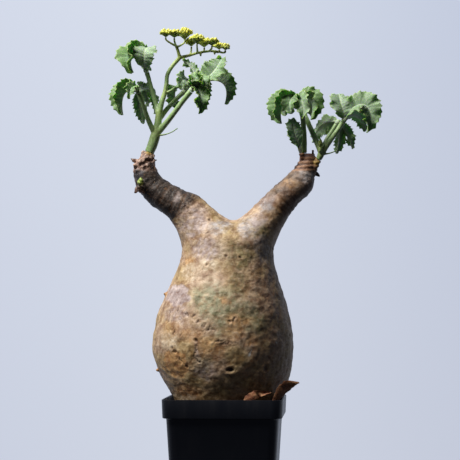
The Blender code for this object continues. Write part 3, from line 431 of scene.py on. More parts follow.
def place_piece(name, mesh, place, slot, *replaced, materials=()):
    """A finished piece: its place goes into its mesh, and it rides on the part's one body."""
    mesh.transform(place)
    for material in materials:
        mesh.materials.append(material)
    mesh.shade_smooth()
    piece = linked(bpy.data.objects.new(name, mesh))
    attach(piece, "root")
    if replaced:
        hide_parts(*replaced)
    return piece


def paint(mesh, name, values):
    """Keeps a number for each point of a mesh, which its material reads."""
    attribute = mesh.attributes.new(name, "FLOAT", "POINT")
    attribute.data.foreach_set("value", values)


def fused(shape, voxel, smoothing):
    """One skin round overlapping closed shapes, with its joints softened."""
    thing = linked(bpy.data.objects.new("fused", mesh_of("fused", shape)))
    remesh = thing.modifiers.new("remesh", "REMESH")
    remesh.mode = "VOXEL"
    remesh.voxel_size = voxel
    soften = thing.modifiers.new("soften", "SMOOTH")
    soften.factor = 0.5
    soften.iterations = smoothing
    mesh = evaluated_mesh(thing)
    bpy.data.objects.remove(thing)
    return mesh


def ease(low, high, value):
    """0 below low, 1 above high, and a smooth way between them."""
    t = min(max((value - low) / (high - low), 0.0), 1.0)
    return t * t * (3 - 2 * t)


def loft(rings, closed=False):
    """A skin through rings of equal length, with a flat face on each end unless it closes on itself."""
    count = len(rings[0])
    points = [point for ring in rings for point in ring]
    faces = []
    for index in range(len(rings) if closed else len(rings) - 1):
        lower = index * count
        upper = (index + 1) % len(rings) * count
        for step in range(count):
            after = (step + 1) % count
            faces.append((lower + step, lower + after, upper + after, upper + step))
    if not closed:
        faces.append(tuple(reversed(range(count))))
        faces.append(tuple(range(len(points) - count, len(points))))
    return points, faces


def smooth_route(points, steps):
    """Points along a smooth curve through the given ones, with this many steps from each to the next."""
    points = [Vector(point) for point in points]
    ends = [points[0] * 2 - points[1], *points, points[-1] * 2 - points[-2]]
    route = []
    for before, start, stop, after in zip(ends, ends[1:], ends[2:], ends[3:]):
        for step in range(steps):
            t = step / steps
            route.append(
                0.5 * (2 * start + (stop - before) * t
                       + (2 * before - 5 * start + 4 * stop - after) * t**2
                       + (3 * start - before - 3 * stop + after) * t**3)
            )
    return [*route, points[-1]]


def trimmed(route, length):
    """The route without this length at its end."""
    route = [Vector(point) for point in route]
    while (route[-1] - route[-2]).length <= length:
        length -= (route[-1] - route[-2]).length
        route.pop()
    way = (route[-2] - route[-1]).normalized()
    return [*route[:-1], route[-1] + way * length]


def raised(route):
    """The route with its foot lifted off its seat by the gap that touching pieces keep."""
    foot = Vector(route[0])
    way = (Vector(route[1]) - foot).normalized()
    return [foot + way * GAP, *route[1:]]


def way_along(route):
    return (Vector(route[-1]) - Vector(route[-2])).normalized()


def link_inputs(tree, node, inputs):
    """Sets a node's inputs, by name or number, each to a value or to another node's output."""
    for key, value in inputs.items():
        if isinstance(value, bpy.types.NodeSocket):
            tree.links.new(value, node.inputs[key])
        else:
            node.inputs[key].default_value = value


def add_node(tree, kind, inputs=None, **settings):
    node = tree.nodes.new(kind)
    for key, value in settings.items():
        setattr(node, key, value)
    link_inputs(tree, node, inputs or {})
    return node


def math_node(tree, operation, first, second=0.0):
    return add_node(tree, "ShaderNodeMath", {0: first, 1: second}, operation=operation).outputs[0]


def new_tree(name, sockets):
    """An empty Geometry Nodes tree with named inputs, and its input and output nodes."""
    tree = bpy.data.node_groups.new(name, "GeometryNodeTree")
    for title, kind in sockets:
        tree.interface.new_socket(title, in_out="INPUT", socket_type="NodeSocket" + kind)
    tree.interface.new_socket("Result", in_out="OUTPUT", socket_type="NodeSocketGeometry")
    return tree, tree.nodes.new("NodeGroupInput").outputs, tree.nodes.new("NodeGroupOutput")


def close_tree(tree, geometry, material, end):
    """Ends a tree in Realize Instances and Set Material."""
    real = add_node(tree, "GeometryNodeRealizeInstances", {"Geometry": geometry})
    made = add_node(tree, "GeometryNodeSetMaterial", {"Geometry": real.outputs[0], "Material": material})
    tree.links.new(made.outputs[0], end.inputs[0])


def grown(tree, sizes, start=None):
    """The plain mesh that a Geometry Nodes tree makes with these sizes."""
    carrier = linked(bpy.data.objects.new("carrier", start or bpy.data.meshes.new("start")))
    modifier = carrier.modifiers.new("nodes", "NODES")
    modifier.node_group = tree
    for item in tree.interface.items_tree:
        if item.item_type == "SOCKET" and item.in_out == "INPUT" and item.name in sizes:
            modifier[item.identifier] = sizes[item.name]
    mesh = evaluated_mesh(carrier)
    bpy.data.objects.remove(carrier)
    return mesh


def stalk_tree():
    """Sweeps a round stalk along a line of points, as thick as their radius says."""
    tree, given, end = new_tree(
        "stalk", (("Line", "Geometry"), ("Step", "Float"), ("Sides", "Int"), ("Material", "Material"))
    )
    radius = add_node(tree, "GeometryNodeInputNamedAttribute", {"Name": "radius"}, data_type="FLOAT")
    curve = add_node(tree, "GeometryNodeMeshToCurve", {"Mesh": given["Line"]})
    even = add_node(tree, "GeometryNodeResampleCurve", {"Curve": curve.outputs[0], "Length": given["Step"]}, mode="LENGTH")
    circle = add_node(tree, "GeometryNodeCurvePrimitiveCircle", {"Resolution": given["Sides"], "Radius": 1.0})
    skin = add_node(
        tree,
        "GeometryNodeCurveToMesh",
        {
            "Curve": even.outputs[0],
            "Profile Curve": circle.outputs[0],
            "Scale": radius.outputs[0],
            "Fill Caps": True,
        },
    )
    close_tree(tree, skin.outputs[0], given["Material"], end)
    return tree


def stalk(tree, route, radii, step=0.8, sides=12):
    """A round stalk along a route, with its radius eased between the given ones, as a shape."""
    route = [Vector(point) for point in route]
    line = bpy.data.meshes.new("line")
    line.from_pydata(route, [(index, index + 1) for index in range(len(route) - 1)], [])
    values = []
    for index in range(len(route)):
        place = index / (len(route) - 1) * (len(radii) - 1)
        low = min(int(place), len(radii) - 2)
        values.append(radii[low] + (radii[low + 1] - radii[low]) * (place - low))
    paint(line, "radius", values)
    mesh = grown(tree, {"Step": step, "Sides": sides}, line)
    return shape_of(mesh)


def ball(centre, radii, tilt=(0, 0, 0), detail=2, wobble=0.0, seed=0):
    """A small round or lumpy body."""
    work = bmesh.new()
    bmesh.ops.create_icosphere(work, subdivisions=detail, radius=1)
    turn = Euler([math.radians(angle) for angle in tilt]).to_matrix()
    points = []
    for vert in work.verts:
        size = 1 + wobble * noise.noise(vert.co * 1.7 + Vector((seed * 3.1, 0, 0)))
        points.append(turn @ Vector([c * r * size for c, r in zip(vert.co, radii)]) + Vector(centre))
    faces = [tuple(vert.index for vert in face.verts) for face in work.faces]
    work.free()
    return points, faces


def trunk_ring(centre_x, half_width, half_depth, height):
    """A level ring of the trunk, a little uneven round its girth."""
    ring = []
    for step in range(BODY_POINTS):
        turn = step * math.tau / BODY_POINTS
        wave = 1 + 0.012 * math.sin(3 * turn + height * 0.05) + 0.008 * math.sin(5 * turn - height * 0.09)
        x = math.cos(turn) * half_width
        y = math.sin(turn) * half_depth
        wave_y = wave if abs(math.sin(turn)) > 0.5 else 1
        ring.append(Vector((centre_x + x, y * wave_y, height)))
    return ring


def ring_fill(points_in_ring):
    """How much a ring grows so that smoothing leaves it at its stated size."""
    return 3 / (2 + math.cos(math.tau / points_in_ring))


def arm_rings(arm):
    """Rings across an arm, each round from its inner side to its outer one."""
    rings = []
    for inner_x, inner_z, outer_x, outer_z in arm:
        inner = Vector((inner_x, 0, inner_z))
        outer = Vector((outer_x, 0, outer_z))
        centre = (inner + outer) / 2
        radius = (outer - inner).length / 2 * ring_fill(ARM_POINTS)
        across = (outer - inner).normalized()
        rings.append(
            [
                centre + (across * math.cos(turn) + Vector((0, 1, 0)) * math.sin(turn)) * radius
                for turn in (step * math.tau / ARM_POINTS for step in range(ARM_POINTS))
            ]
        )
    return rings


def caudex_cage():
    """Quads through the trunk's rings, parted at a saddle into the two arms."""
    fill = ring_fill(BODY_POINTS)
    rings = [trunk_ring(x, width * fill, depth * fill, z) for z, x, width, depth in TRUNK]
    centre_x, half_width, half_depth = SPLIT_RING
    split = trunk_ring(centre_x, half_width * fill, half_depth * fill, SPLIT_Z)
    for point in split:
        nearness = 1 - min(abs(point.x - centre_x) / half_width, 1)
        point.z -= FORK_DROP * nearness**2
    rings.append(split)
    points, faces = loft(rings)
    faces.pop()
    split_start = len(points) - BODY_POINTS
    saddle = [len(points) + step for step in range(len(FORK_SADDLE))]
    points.extend(Vector(point) for point in FORK_SADDLE)
    front, back = 12, 4
    right_loop = [*range(0, back + 1), *("saddle",) * 3, *range(front, BODY_POINTS)]
    left_loop = [*range(8, back - 1, -1), *("saddle",) * 3, *range(front, 8, -1)]
    for loop, arm in ((right_loop, RIGHT_ARM), (left_loop, LEFT_ARM)):
        over = iter(reversed(saddle))
        last = [next(over) if step == "saddle" else split_start + step for step in loop]
        for ring in arm_rings(arm):
            new = list(range(len(points), len(points) + ARM_POINTS))
            points.extend(ring)
            for step in range(ARM_POINTS):
                after = (step + 1) % ARM_POINTS
                faces.append((last[step], last[after], new[after], new[step]))
            last = new
        faces.append(tuple(last))
    return points, faces


def rounded_cage():
    """The caudex's cage, smoothed, as a shape."""
    thing = linked(bpy.data.objects.new("cage", mesh_of("cage", caudex_cage())))
    rounder = thing.modifiers.new("rounder", "SUBSURF")
    rounder.levels = 4
    rounder.render_levels = 4
    mesh = evaluated_mesh(thing)
    bpy.data.objects.remove(thing)
    return shape_of(mesh)


def collar(tree, start, route, radius, sides=14):
    """What carries a stem, stalk or bud: it grows from start to the foot of the route, and ends square to it."""
    foot = Vector(route[0])
    way = (Vector(route[1]) - foot).normalized()
    return stalk(tree, (start, foot - way * COLLAR_NECK, foot), (radius * 1.3, radius * 1.15, radius), 0.6, sides)


def crown_pieces(tree):
    """The knobs, rings, dry stubs and collars that the two crowns have grown."""
    stubs = (
        (((-64, -1, 273), (-69, -1, 275.2), (-72.6, -1, 277)), (3.0, 2.0, 0.7)),
        (((-60, -2, 272), (-56.5, -3, 273.6), (-52.4, -3, 275.8)), (2.6, 1.5, 0.5)),
        (((-63, 4, 269), (-64, 8.4, 274), (-63.4, 10.8, 278)), (3.2, 2.4, 1.2)),
        (((-64, -3, 256), (-67.5, -4, 252.5), (-68.8, -4.5, 250.0)), (2.6, 1.7, 0.8)),
        (((60, 0, 268), (56, -1, 269.2), (53.2, -1, 271.4)), (2.2, 1.6, 0.8)),
        (((64, 1, 267.5), (68.5, 1, 265.6), (72.4, 1.5, 263.0)), (2.6, 1.6, 0.5)),
        (((63, 3, 272), (63, 7.5, 275), (63, 9, 279)), (2.6, 2.0, 1.0)),
        (((66.6, 1.5, 278), (67, 1.8, 283.6)), (1.4, 0.8)),
    )
    knobs = (
        (-67, -3, 271, 3.6),
        (-64, -6, 274, 3.4),
        (-58.5, -5, 271.5, 3.2),
        (-68, 3, 268, 3.4),
        (-57.6, 4.4, 274.2, 3.4),
        (-61.8, -7.2, 270.4, 2.6),
        (-66.6, -5.6, 266.8, 2.4),
        (-61.4, -3.6, 277.4, 2.8),
    )
    pieces = [
        collar(tree, (-61.5, 0, 270.5), LEFT_STEM, 4.5, 18),
        collar(tree, (66, -1.4, 266), RIGHT_STEM, 2.1, 18),
        collar(tree, (61, -1, 275), LEAF_STALKS["right_leaf_1"][0], 2.5),
        collar(tree, (60, -2.5, 275), LEAF_STALKS["right_leaf_5"][0], 1.8),
        collar(tree, (-62.5, -5.5, 251.5), LEFT_BUD, 2.0),
    ]
    for route, radii in stubs:
        pieces.append(stalk(tree, smooth_route(route, 3), radii, 0.6))
    for number, (x, y, z, size) in enumerate(knobs):
        pieces.append(ball((x, y, z), (size, size, size * 0.8), detail=3, wobble=0.35, seed=number))
    for height, radius in ((268.8, 6.1), (271.8, 6.8), (275.0, 6.0), (278.0, 6.4)):
        pieces.append(
            stalk(tree, ((63.1, 0, height - 0.9), (63.2, 0, height), (63.3, 0, height + 0.9)),
                  (radius - 0.9, radius, radius - 0.9), 0.3, 24)
        )
    return pieces


class ArmAxis:
    """The middle line of an arm, which tells how far along it a point lies."""

    def __init__(self, arm):
        self.points = [
            Vector(((inner_x + outer_x) / 2, 0, (inner_z + outer_z) / 2)) for inner_x, inner_z, outer_x, outer_z in arm
        ]

    def along(self, point):
        best = (1e9, 0.0)
        length = 0.0
        for start, stop in zip(self.points, self.points[1:]):
            run = stop - start
            t = min(max((point - start).dot(run) / run.length_squared, 0.0), 1.0)
            best = min(best, ((start + run * t - point).length, length + run.length * t))
            length += run.length
        return best[1]


def bark_colour(kind, light):
    """The colour of a kind of bark, from its dark grain at 0 to its light grain at 1."""
    dark, pale = BARK[kind]
    return Vector(dark).lerp(Vector(pale), light)


def patches_at(point, normal):
    """The patches that lie at a point, each with its weight. The back carries the same patches, mirrored."""
    shift = noise.noise_vector(point / 6.5) * 3.0 + noise.noise_vector(point / 2.3) * 1.3
    x = (point.x if normal.y < 0 else -point.x) + shift.x
    z = point.z + shift.z
    face = ease(0.0, 0.3, abs(normal.y))
    broken = 0.5 + 0.5 * ease(-0.25, 0.15, noise.noise(point / 2.8 + Vector((0, 9, 0))))
    found = []
    for kind, middle_x, middle_z, half_width, half_height, strength in PATCHES:
        reach = math.hypot((x - middle_x) / half_width, (z - middle_z) / half_height)
        if reach < 1.25:
            firm = strength >= PEELED
            weight = 1 - (ease(0.85, 1.05, reach) if firm else ease(0.55, 1.25, reach))
            found.append((kind, weight * strength * face * (1 if firm else broken)))
    return found


def crown_colour(point, knobby, crown, colour):
    """The bark of the crowns: red-brown to pinkish or rusty, with the parts that have a colour of their own."""
    kind = "crown" if point.x < 0 else "rust"
    colour = colour.lerp(bark_colour(kind, min(max(0.45 + 0.8 * knobby, 0), 1)), crown)
    for kind, x, y, z, reach in CROWN_MARKS:
        near = (point - Vector((x, y, z))).length / reach
        if near < 1.2:
            colour = colour.lerp(bark_colour(kind, min(max(0.4 + knobby, 0), 1)), 1 - ease(0.7, 1.2, near))
    return colour


def bark_relief(mesh):
    """Raises and cuts the bark, and notes on each point its colour and what else its material reads."""
    axes = (ArmAxis(LEFT_ARM), ArmAxis(RIGHT_ARM))
    notes = {name: [0.0] * len(mesh.vertices) for name in ("cracks", "edge", "pit", "lip")}
    points = [vert.co.copy() for vert in mesh.vertices]
    normals = [Vector(normal.vector) for normal in mesh.vertex_normals]
    lift = [0.0] * len(points)
    tint = []
    for index, (point, normal) in enumerate(zip(points, normals)):
        arm = ease(226, 240, point.z)
        crown = ease(265.5, 268.5, point.z)
        along = axes[0 if point.x < 4 else 1].along(point) if arm > 0 else 0.0
        rise = 0.55 * noise.noise(point / 26) + 0.45 * noise.noise(point / 9 + Vector((5, 0, 0)))
        fine = noise.noise(point / 3.6)
        grain = noise.noise(point / 1.7)
        rise += 0.25 * fine + 0.12 * grain
        striation = noise.noise(Vector((point.x / 8, point.y / 8, point.z / 1.9)))
        rise += 0.09 * striation * (1 - crown)
        plate = noise.fractal(Vector((point.x / 13, point.y / 13, point.z / 10)), 0.9, 2.1, 4)
        ragged = ease(-0.1, 0.3, noise.noise(point / 5 + Vector((0, 0, 4))))
        for level in (-0.22, 0.18, 0.5):
            rise += 0.12 * ease(level - 0.05, level + 0.05, plate) * (1 - crown)
            edge = math.exp(-(((plate - level) / 0.035) ** 2)) * 0.6 * ragged
            notes["edge"][index] = max(notes["edge"][index], edge)
        if arm > 0:
            fold = noise.noise(Vector((along / 2.6, point.y / 16, 3.7)))
            fold += 0.6 * noise.noise(Vector((along / 1.4, point.y / 9, 8.1)))
            rise += 0.4 * fold * arm * (1 - crown)
            notes["edge"][index] = max(notes["edge"][index], 0.7 * arm * ease(0.25, 0.6, -fold))

        light = min(max(0.5 + 0.85 * noise.noise(point / 4.6 + Vector((1, 2, 3))) + 0.45 * grain, 0), 1)
        hue = noise.noise(point / 13 + Vector((3, 1, 7)))
        colour = bark_colour("tan", light)
        colour = colour.lerp(bark_colour("pink", light), 0.45 * ease(0.0, 0.3, hue))
        colour = colour.lerp(bark_colour("ochre", light), 0.7 * ease(0.0, 0.3, -hue))
        # Partly painted shade: past the fork the left arm takes the near-black arm bark.
        if point.x < 4:
            colour = colour.lerp(bark_colour("arm", light), ease(7, 12, along))
        else:
            colour = colour.lerp(bark_colour("bough", light), 0.85 * ease(0, 20, along))
        for kind, weight in patches_at(point, normal):
            if kind == "cracks":
                notes["cracks"][index] = max(notes["cracks"][index], weight)
                continue
            colour = colour.lerp(bark_colour(kind, light), weight)
            if kind in ("lilac", "orange") and weight > 0:
                rise -= 0.3 * weight * (1 - arm)
                notes["edge"][index] = max(notes["edge"][index], ragged * math.exp(-(((weight - 0.5) / 0.3) ** 2)) * weight)
        knobby = noise.noise(point / 3.1) + 0.7 * noise.noise(point / 1.5)
        if point.x > 0:
            knobby = 0.35 * knobby + 0.5 * math.sin(point.z * math.tau / COLLAR_RING_PITCH)
        rise += (0.9 if point.x < 0 else 0.45) * crown * knobby
        notes["pit"][index] = 0.9 * crown * ease(0.25, 0.7, -knobby) * (1.0 if point.x < 0 else 0.4)
        for x, y, z, size in FLAKES:
            if (point - Vector((x, y, z))).length < 1.5 * size:
                colour = bark_colour("orange", 0.5 * light)
        tint.append(crown_colour(point, knobby, crown, colour) if point.z > 246 else colour)
        lift[index] = rise
    cut_marks(points, normals, lift, notes)
    for vert, point, normal, rise in zip(mesh.vertices, points, normals, lift):
        vert.co = point + normal * rise
    for name, values in notes.items():
        paint(mesh, name, values)
    attribute = mesh.attributes.new("tint", "FLOAT_COLOR", "POINT")
    attribute.data.foreach_set("color", [part for colour in tint for part in (*colour, 1.0)])


def cut_marks(points, normals, lift, notes):
    """Cuts the short cracks and pits into the bark, and the knot hole with its raised lip."""
    tree = kdtree.KDTree(len(points))
    front = kdtree.KDTree(len(points))
    for index, (point, normal) in enumerate(zip(points, normals)):
        tree.insert(point, index)
        if normal.y < -0.1:
            front.insert((point.x, 0, point.z), index)
    tree.balance()
    front.balance()
    marks = []
    for x, z, half_length, half_width, angle, depth in MARKS:
        marks.append((front.find((x, 0, z))[1], half_length, half_width, angle, depth))
    chance = random.Random(21)
    while len(marks) < 150:
        turn = chance.uniform(0, math.tau)
        reach = 50
        place = (math.cos(turn) * reach, math.sin(turn) * reach, chance.uniform(100, 215))
        index = tree.find(place)[1]
        if normals[index].y > -0.35:
            size = chance.uniform(0.7, 2.4)
            marks.append((index, size, 0.5, chance.gauss(80, 35), chance.uniform(0.4, 0.7)))
    for index, half_length, half_width, angle, depth in marks:
        centre, normal = points[index], normals[index]
        level = Vector((0, 0, 1)).cross(normal).normalized()
        upright = normal.cross(level)
        turn = math.radians(angle)
        long_way = level * math.cos(turn) + upright * math.sin(turn)
        short_way = normal.cross(long_way)
        for _, near, _ in tree.find_range(centre, half_length * 1.6 + 1.5):
            offset = points[near] - centre
            run = offset.dot(long_way) / half_length
            side = (offset.dot(short_way) + 1.6 * noise.noise(points[near] / 1.9)) / half_width
            reach = math.hypot(run, side) * (1 + 0.5 * noise.noise(points[near] / 1.1 + Vector((4, 0, 0))))
            hollow = 1 - ease(0.35, 1.5, reach)
            lip = math.exp(-(((reach - 2.2) / 0.6) ** 2))
            lift[near] += lip * 0.2 - hollow * depth
            notes["pit"][near] = max(notes["pit"][near], hollow * 0.75)
            notes["lip"][near] = max(notes["lip"][near], lip * 0.5)
    cut_knot(points, tree, front, lift, notes)


def cut_knot(points, tree, front, lift, notes):
    """Sinks the knot hole into the bark, with a low lip that is higher beneath it."""
    x, z = KNOT_HOLE
    centre = points[front.find((x, 0, z))[1]]
    for _, near, _ in tree.find_range(centre, 9):
        offset = points[near] - centre
        reach = math.hypot(offset.x / 3.0, offset.z / 1.6) * (1 + 0.2 * noise.noise(points[near] / 1.6))
        hollow = 1 - ease(0.5, 1.2, reach)
        lip = math.exp(-(((reach - 1.9) / 0.55) ** 2)) * (1.0 if offset.z < 0 else 0.4)
        lift[near] += lip * 0.35 - hollow * 2.2
        notes["pit"][near] = max(notes["pit"][near], hollow)
        notes["lip"][near] = max(notes["lip"][near], 0.45 * lip)


def add_caudex(tree, material):
    """The trunk, its root end, both arms and their crowns: one grown piece."""
    flakes = [ball((x, y, z), (size, size, size * 0.7), detail=2, wobble=0.5) for x, y, z, size in FLAKES]
    shape = together([rounded_cage(), *crown_pieces(tree), *flakes])
    mesh = fused(shape, BARK_VOXEL, 2)
    bark_relief(mesh)
    return place_piece("caudex_bark", mesh, PLANT_PLACE, "bark", "caudex", materials=(material,))


def stalk_radii(radius):
    return radius * 1.3, radius * 1.06, radius, radius * 0.96, radius * 1.1


def leaf_stalk(tree, leaf):
    """A leaf's stalk, up to a small gap under the hub of its leaflets."""
    points, radius = LEAF_STALKS[leaf]
    route = trimmed(smooth_route(points, 5), HUB_REACH + GAP)
    return stalk(tree, route, stalk_radii(radius))


def head_stalk(tree, head):
    """The stalk of a flower head, up to a small gap under it, upright at its end."""
    start, foot = [Vector(point) for point in HEADS[head][:2]]
    neck = foot - Vector((0, 0, 2.0))
    middle = start.lerp(neck, 0.6) + Vector((0, (foot.y - start.y) * 0.12, -0.4))
    route = smooth_route((start, middle, neck, foot), 4)
    return stalk(tree, trimmed(route, GAP), (1.0, 0.8, 0.75, 0.85), 0.5, 10)


def stem_skin(shapes, knots, deep=()):
    """One skin round a stem and its stalks, which notes how tender each point is, or below 0 how much painted shade
    darkens its green.
    """
    mesh = fused(together(shapes), STEM_VOXEL, 3)
    tender_and_shade = []
    for vert in mesh.vertices:
        nearest = min((vert.co - Vector(knot)).length for knot in knots)
        tender = max(0.35 * (1 - ease(2.0, 9.0, nearest)), 0.8 * ease(340, 358, vert.co.z))
        # Painted shade: near these places, where a leaf above shades the stalk, the note drops below 0.
        for place in deep:
            tender -= 1 - ease(3.0, 7.5, (vert.co - place).length)
        tender_and_shade.append(max(tender, -1.0))
        vert.co += vert.normal * 0.10 * noise.noise(vert.co / 1.4)
    paint(mesh, "tender_and_shade", tender_and_shade)
    return mesh


def add_left_stem(tree, material):
    """The green stem of the left arm with its leaf stalks, flower stalk, tendril and bract."""
    shapes = [stalk(tree, smooth_route(raised(LEFT_STEM), 4), LEFT_STEM_RADII, sides=18)]
    shapes += [leaf_stalk(tree, leaf) for leaf in LEAF_STALKS if leaf.startswith("left")]
    shapes += [head_stalk(tree, head) for head in HEADS]
    shapes += [
        stalk(tree, smooth_route(PEDUNCLE, 4), PEDUNCLE_RADII),
        stalk(tree, smooth_route(CYME_LEFT, 4), (1.5, 1.2, 1.2)),
        stalk(tree, smooth_route(CYME_RIGHT, 4), (1.5, 1.2, 1.0, 1.0, 0.9)),
        stalk(tree, smooth_route(TENDRIL_LEFT, 5), (0.9, 0.6, 0.5), 0.4, 8),
        stalk(tree, smooth_route(BRACT, 5), (0.8, 1.0, 0.5), 0.4, 8),
    ]
    for bud in HANGING_BUDS:
        shapes.append(stalk(tree, bud, (0.5, 0.95, 0.5), 0.4, 10))
    knots = ((-53, 0, 295.5), (-51, 0, 310), (-47.2, 0, 327), (-36, 0, 354.5))
    # Painted shade along the stalk of left_leaf_2, under the leaf that shades it.
    shaded = smooth_route(LEAF_STALKS["left_leaf_2"][0], 2)[2:]
    mesh = stem_skin(shapes, knots, shaded)
    return place_piece("left_stem_skin", mesh, PLANT_PLACE, "stem", "left_stem", materials=(material,))


def add_right_stem(tree, material):
    """The short green stem of the right arm with three leaf stalks and a tendril."""
    shapes = [stalk(tree, smooth_route(raised(RIGHT_STEM), 4), RIGHT_STEM_RADII, sides=18)]
    shapes += [leaf_stalk(tree, leaf) for leaf in ("right_leaf_2", "right_leaf_3", "right_leaf_4")]
    shapes.append(stalk(tree, smooth_route(TENDRIL_RIGHT, 5), (0.9, 0.6, 0.5), 0.4, 8))
    shapes.append(collar(tree, (73, -5.5, 280.5), RIGHT_BUD, 1.3))
    mesh = stem_skin(shapes, ((73.2, -5.2, 281), (72.0, -9.0, 284)))
    return place_piece("right_stem_skin", mesh, PLANT_PLACE, "stem", "right_stem", materials=(material,))


def add_single_stalk(tree, material):
    """The leaf stalk that stands by itself on the right crown."""
    points, radius = LEAF_STALKS["right_leaf_1"]
    route = trimmed(smooth_route(raised(points), 5), HUB_REACH + GAP)
    mesh = stem_skin([stalk(tree, route, stalk_radii(radius))], ((59.5, 0, 279),))
    return place_piece("right_stalk_skin", mesh, PLANT_PLACE, "stem", "right_stalk", materials=(material,))


def arch_point(guides, s):
    near, rise, crest, tip = guides
    t = 1 - s
    return near * t**3 + rise * (3 * s * t**2) + crest * (3 * s**2 * t) + tip * s**3


def arch_way(guides, s):
    near, rise, crest, tip = guides
    t = 1 - s
    return ((rise - near) * t**2 + (crest - rise) * (2 * s * t) + (tip - crest) * s**2).normalized()


def blade_half_width(s, half_width):
    """The width of half a leaflet along its midrib: narrow at the foot, widest past the middle, with a blunt tip."""
    rise, fall = 0.9, 0.75
    peak = rise / (rise + fall)
    full = peak**rise * (1 - peak) ** fall
    return max(half_width * s**rise * (1 - s) ** fall / full, LEAFSTALK_BASE * (1 - s) ** 2, 0.2)


BLADE_PARTS = (0.0, 0.08, 0.22, 0.38, 0.54, 0.69, 0.82, 0.92, 1.0)
TOOTH_SHAPE = (0.0, 0.2, 0.55, 1.0, 0.35)


def leaflet_blade(hub, leaflet, seed):
    """A closed blade with a toothed and ruffled margin, pleats between its side veins and a keel under its midrib.

    It returns points and faces, and for each point its place along the blade, its place across it, and its side."""
    guides = [Vector(point) for point in (hub, leaflet.rise, leaflet.crest, leaflet.tip)]
    length = sum((arch_point(guides, i / 8) - arch_point(guides, (i + 1) / 8)).length for i in range(8))
    teeth = max(5, round(length / TEETH_PITCH))
    rows = teeth * ROWS_PER_TOOTH
    chance = random.Random(seed)
    phase = chance.uniform(0, math.tau)
    sizes = {hand: [TOOTH * chance.uniform(0.6, 1.2) for _ in range(teeth + 1)] for hand in (-1, 1)}
    way = arch_way(guides, 0)
    bend = guides[2] - guides[1]
    outward = (way * bend.dot(way) - bend).normalized()
    outward.rotate(Matrix.Rotation(math.radians(leaflet.roll), 3, way))

    upper, lower, notes = [], [], []
    for row in range(rows + 1):
        s = min(row / rows, 0.995)
        new_way = arch_way(guides, s)
        outward.rotate(way.rotation_difference(new_way))
        way = new_way
        middle = arch_point(guides, s)
        opening = leaflet.spread + (160 - leaflet.spread) * max(0, 1 - s / 0.25)
        turn = math.radians(opening / 2)
        end_fade = min(1, 5 * s) * min(1, 7 * (1 - s) + 0.2)
        for hand, part in [(-1, part) for part in reversed(BLADE_PARTS[1:])] + [(1, part) for part in BLADE_PARTS]:
            side = way.cross(outward) * hand
            lean = side * math.sin(turn) + outward * math.cos(turn)
            rise = outward * math.sin(turn) - side * math.cos(turn)
            tooth = TOOTH_SHAPE[row % ROWS_PER_TOOTH] * sizes[hand][row // ROWS_PER_TOOTH] * end_fade
            reach = ease(0.75, 1.0, part)
            width = blade_half_width(s, leaflet.half_width) * part + tooth * reach
            run = s * length * math.tau
            swell = 0.75 + 0.6 * noise.noise(Vector((s * length / 7, hand * 3.0, phase)))
            wave = leaflet.ruffle * math.sin(s * math.tau * 2.5 + phase + hand) * part**2
            wave += 1.25 * leaflet.ruffle * swell * math.sin(run / CRINKLE_LENGTH + phase * 2 + hand) * part**2.5
            wave += 0.7 * leaflet.ruffle * swell * math.sin(run / FRILL_LENGTH + phase * 3 - hand) * part**4
            wave *= min(1, 4 * s)
            cup = 0.14 * leaflet.half_width * (part**2 - part) * math.sin(math.pi * s)
            between_veins = (row / ROWS_PER_TOOTH + 1.3 - 1.1 * part) % 1.0
            pleat = 0.4 * math.sin(math.pi * between_veins) * ease(0.0, 0.3, part) * (1 - 0.6 * part) * end_fade
            point = middle + lean * width + rise * (wave - cup + pleat) + way * (tooth * 0.6 * reach)
            slight = rise.lerp(outward, 1 - ease(0.0, 0.2, part)).normalized()
            thick = 0.85 - 0.45 * part
            keel = (1.2 * (1 - s) ** 1.5 + 0.3) * math.exp(-((width / 0.9) ** 2))
            upper.append(point + slight * thick / 2)
            lower.append(point - slight * (thick / 2 + keel))
            notes.append((s, 0.5 + 0.5 * hand * part))
    across = 2 * len(BLADE_PARTS) - 1
    faces = []
    shift = len(upper)
    for row in range(rows):
        for column in range(across - 1):
            corner = row * across + column
            quad = (corner, corner + 1, corner + 1 + across, corner + across)
            faces.append(quad)
            faces.append(tuple(index + shift for index in reversed(quad)))
    outline = [*range(across), *(row * across + across - 1 for row in range(1, rows + 1))]
    outline += [*range(shift - 2, shift - across - 1, -1), *(row * across for row in range(rows - 1, 0, -1))]
    for here, after in zip(outline, outline[1:] + outline[:1]):
        faces.append((after, here, here + shift, after + shift))
    sides = [1.0] * shift + [0.0] * shift
    return upper + lower, faces, notes * 2, sides


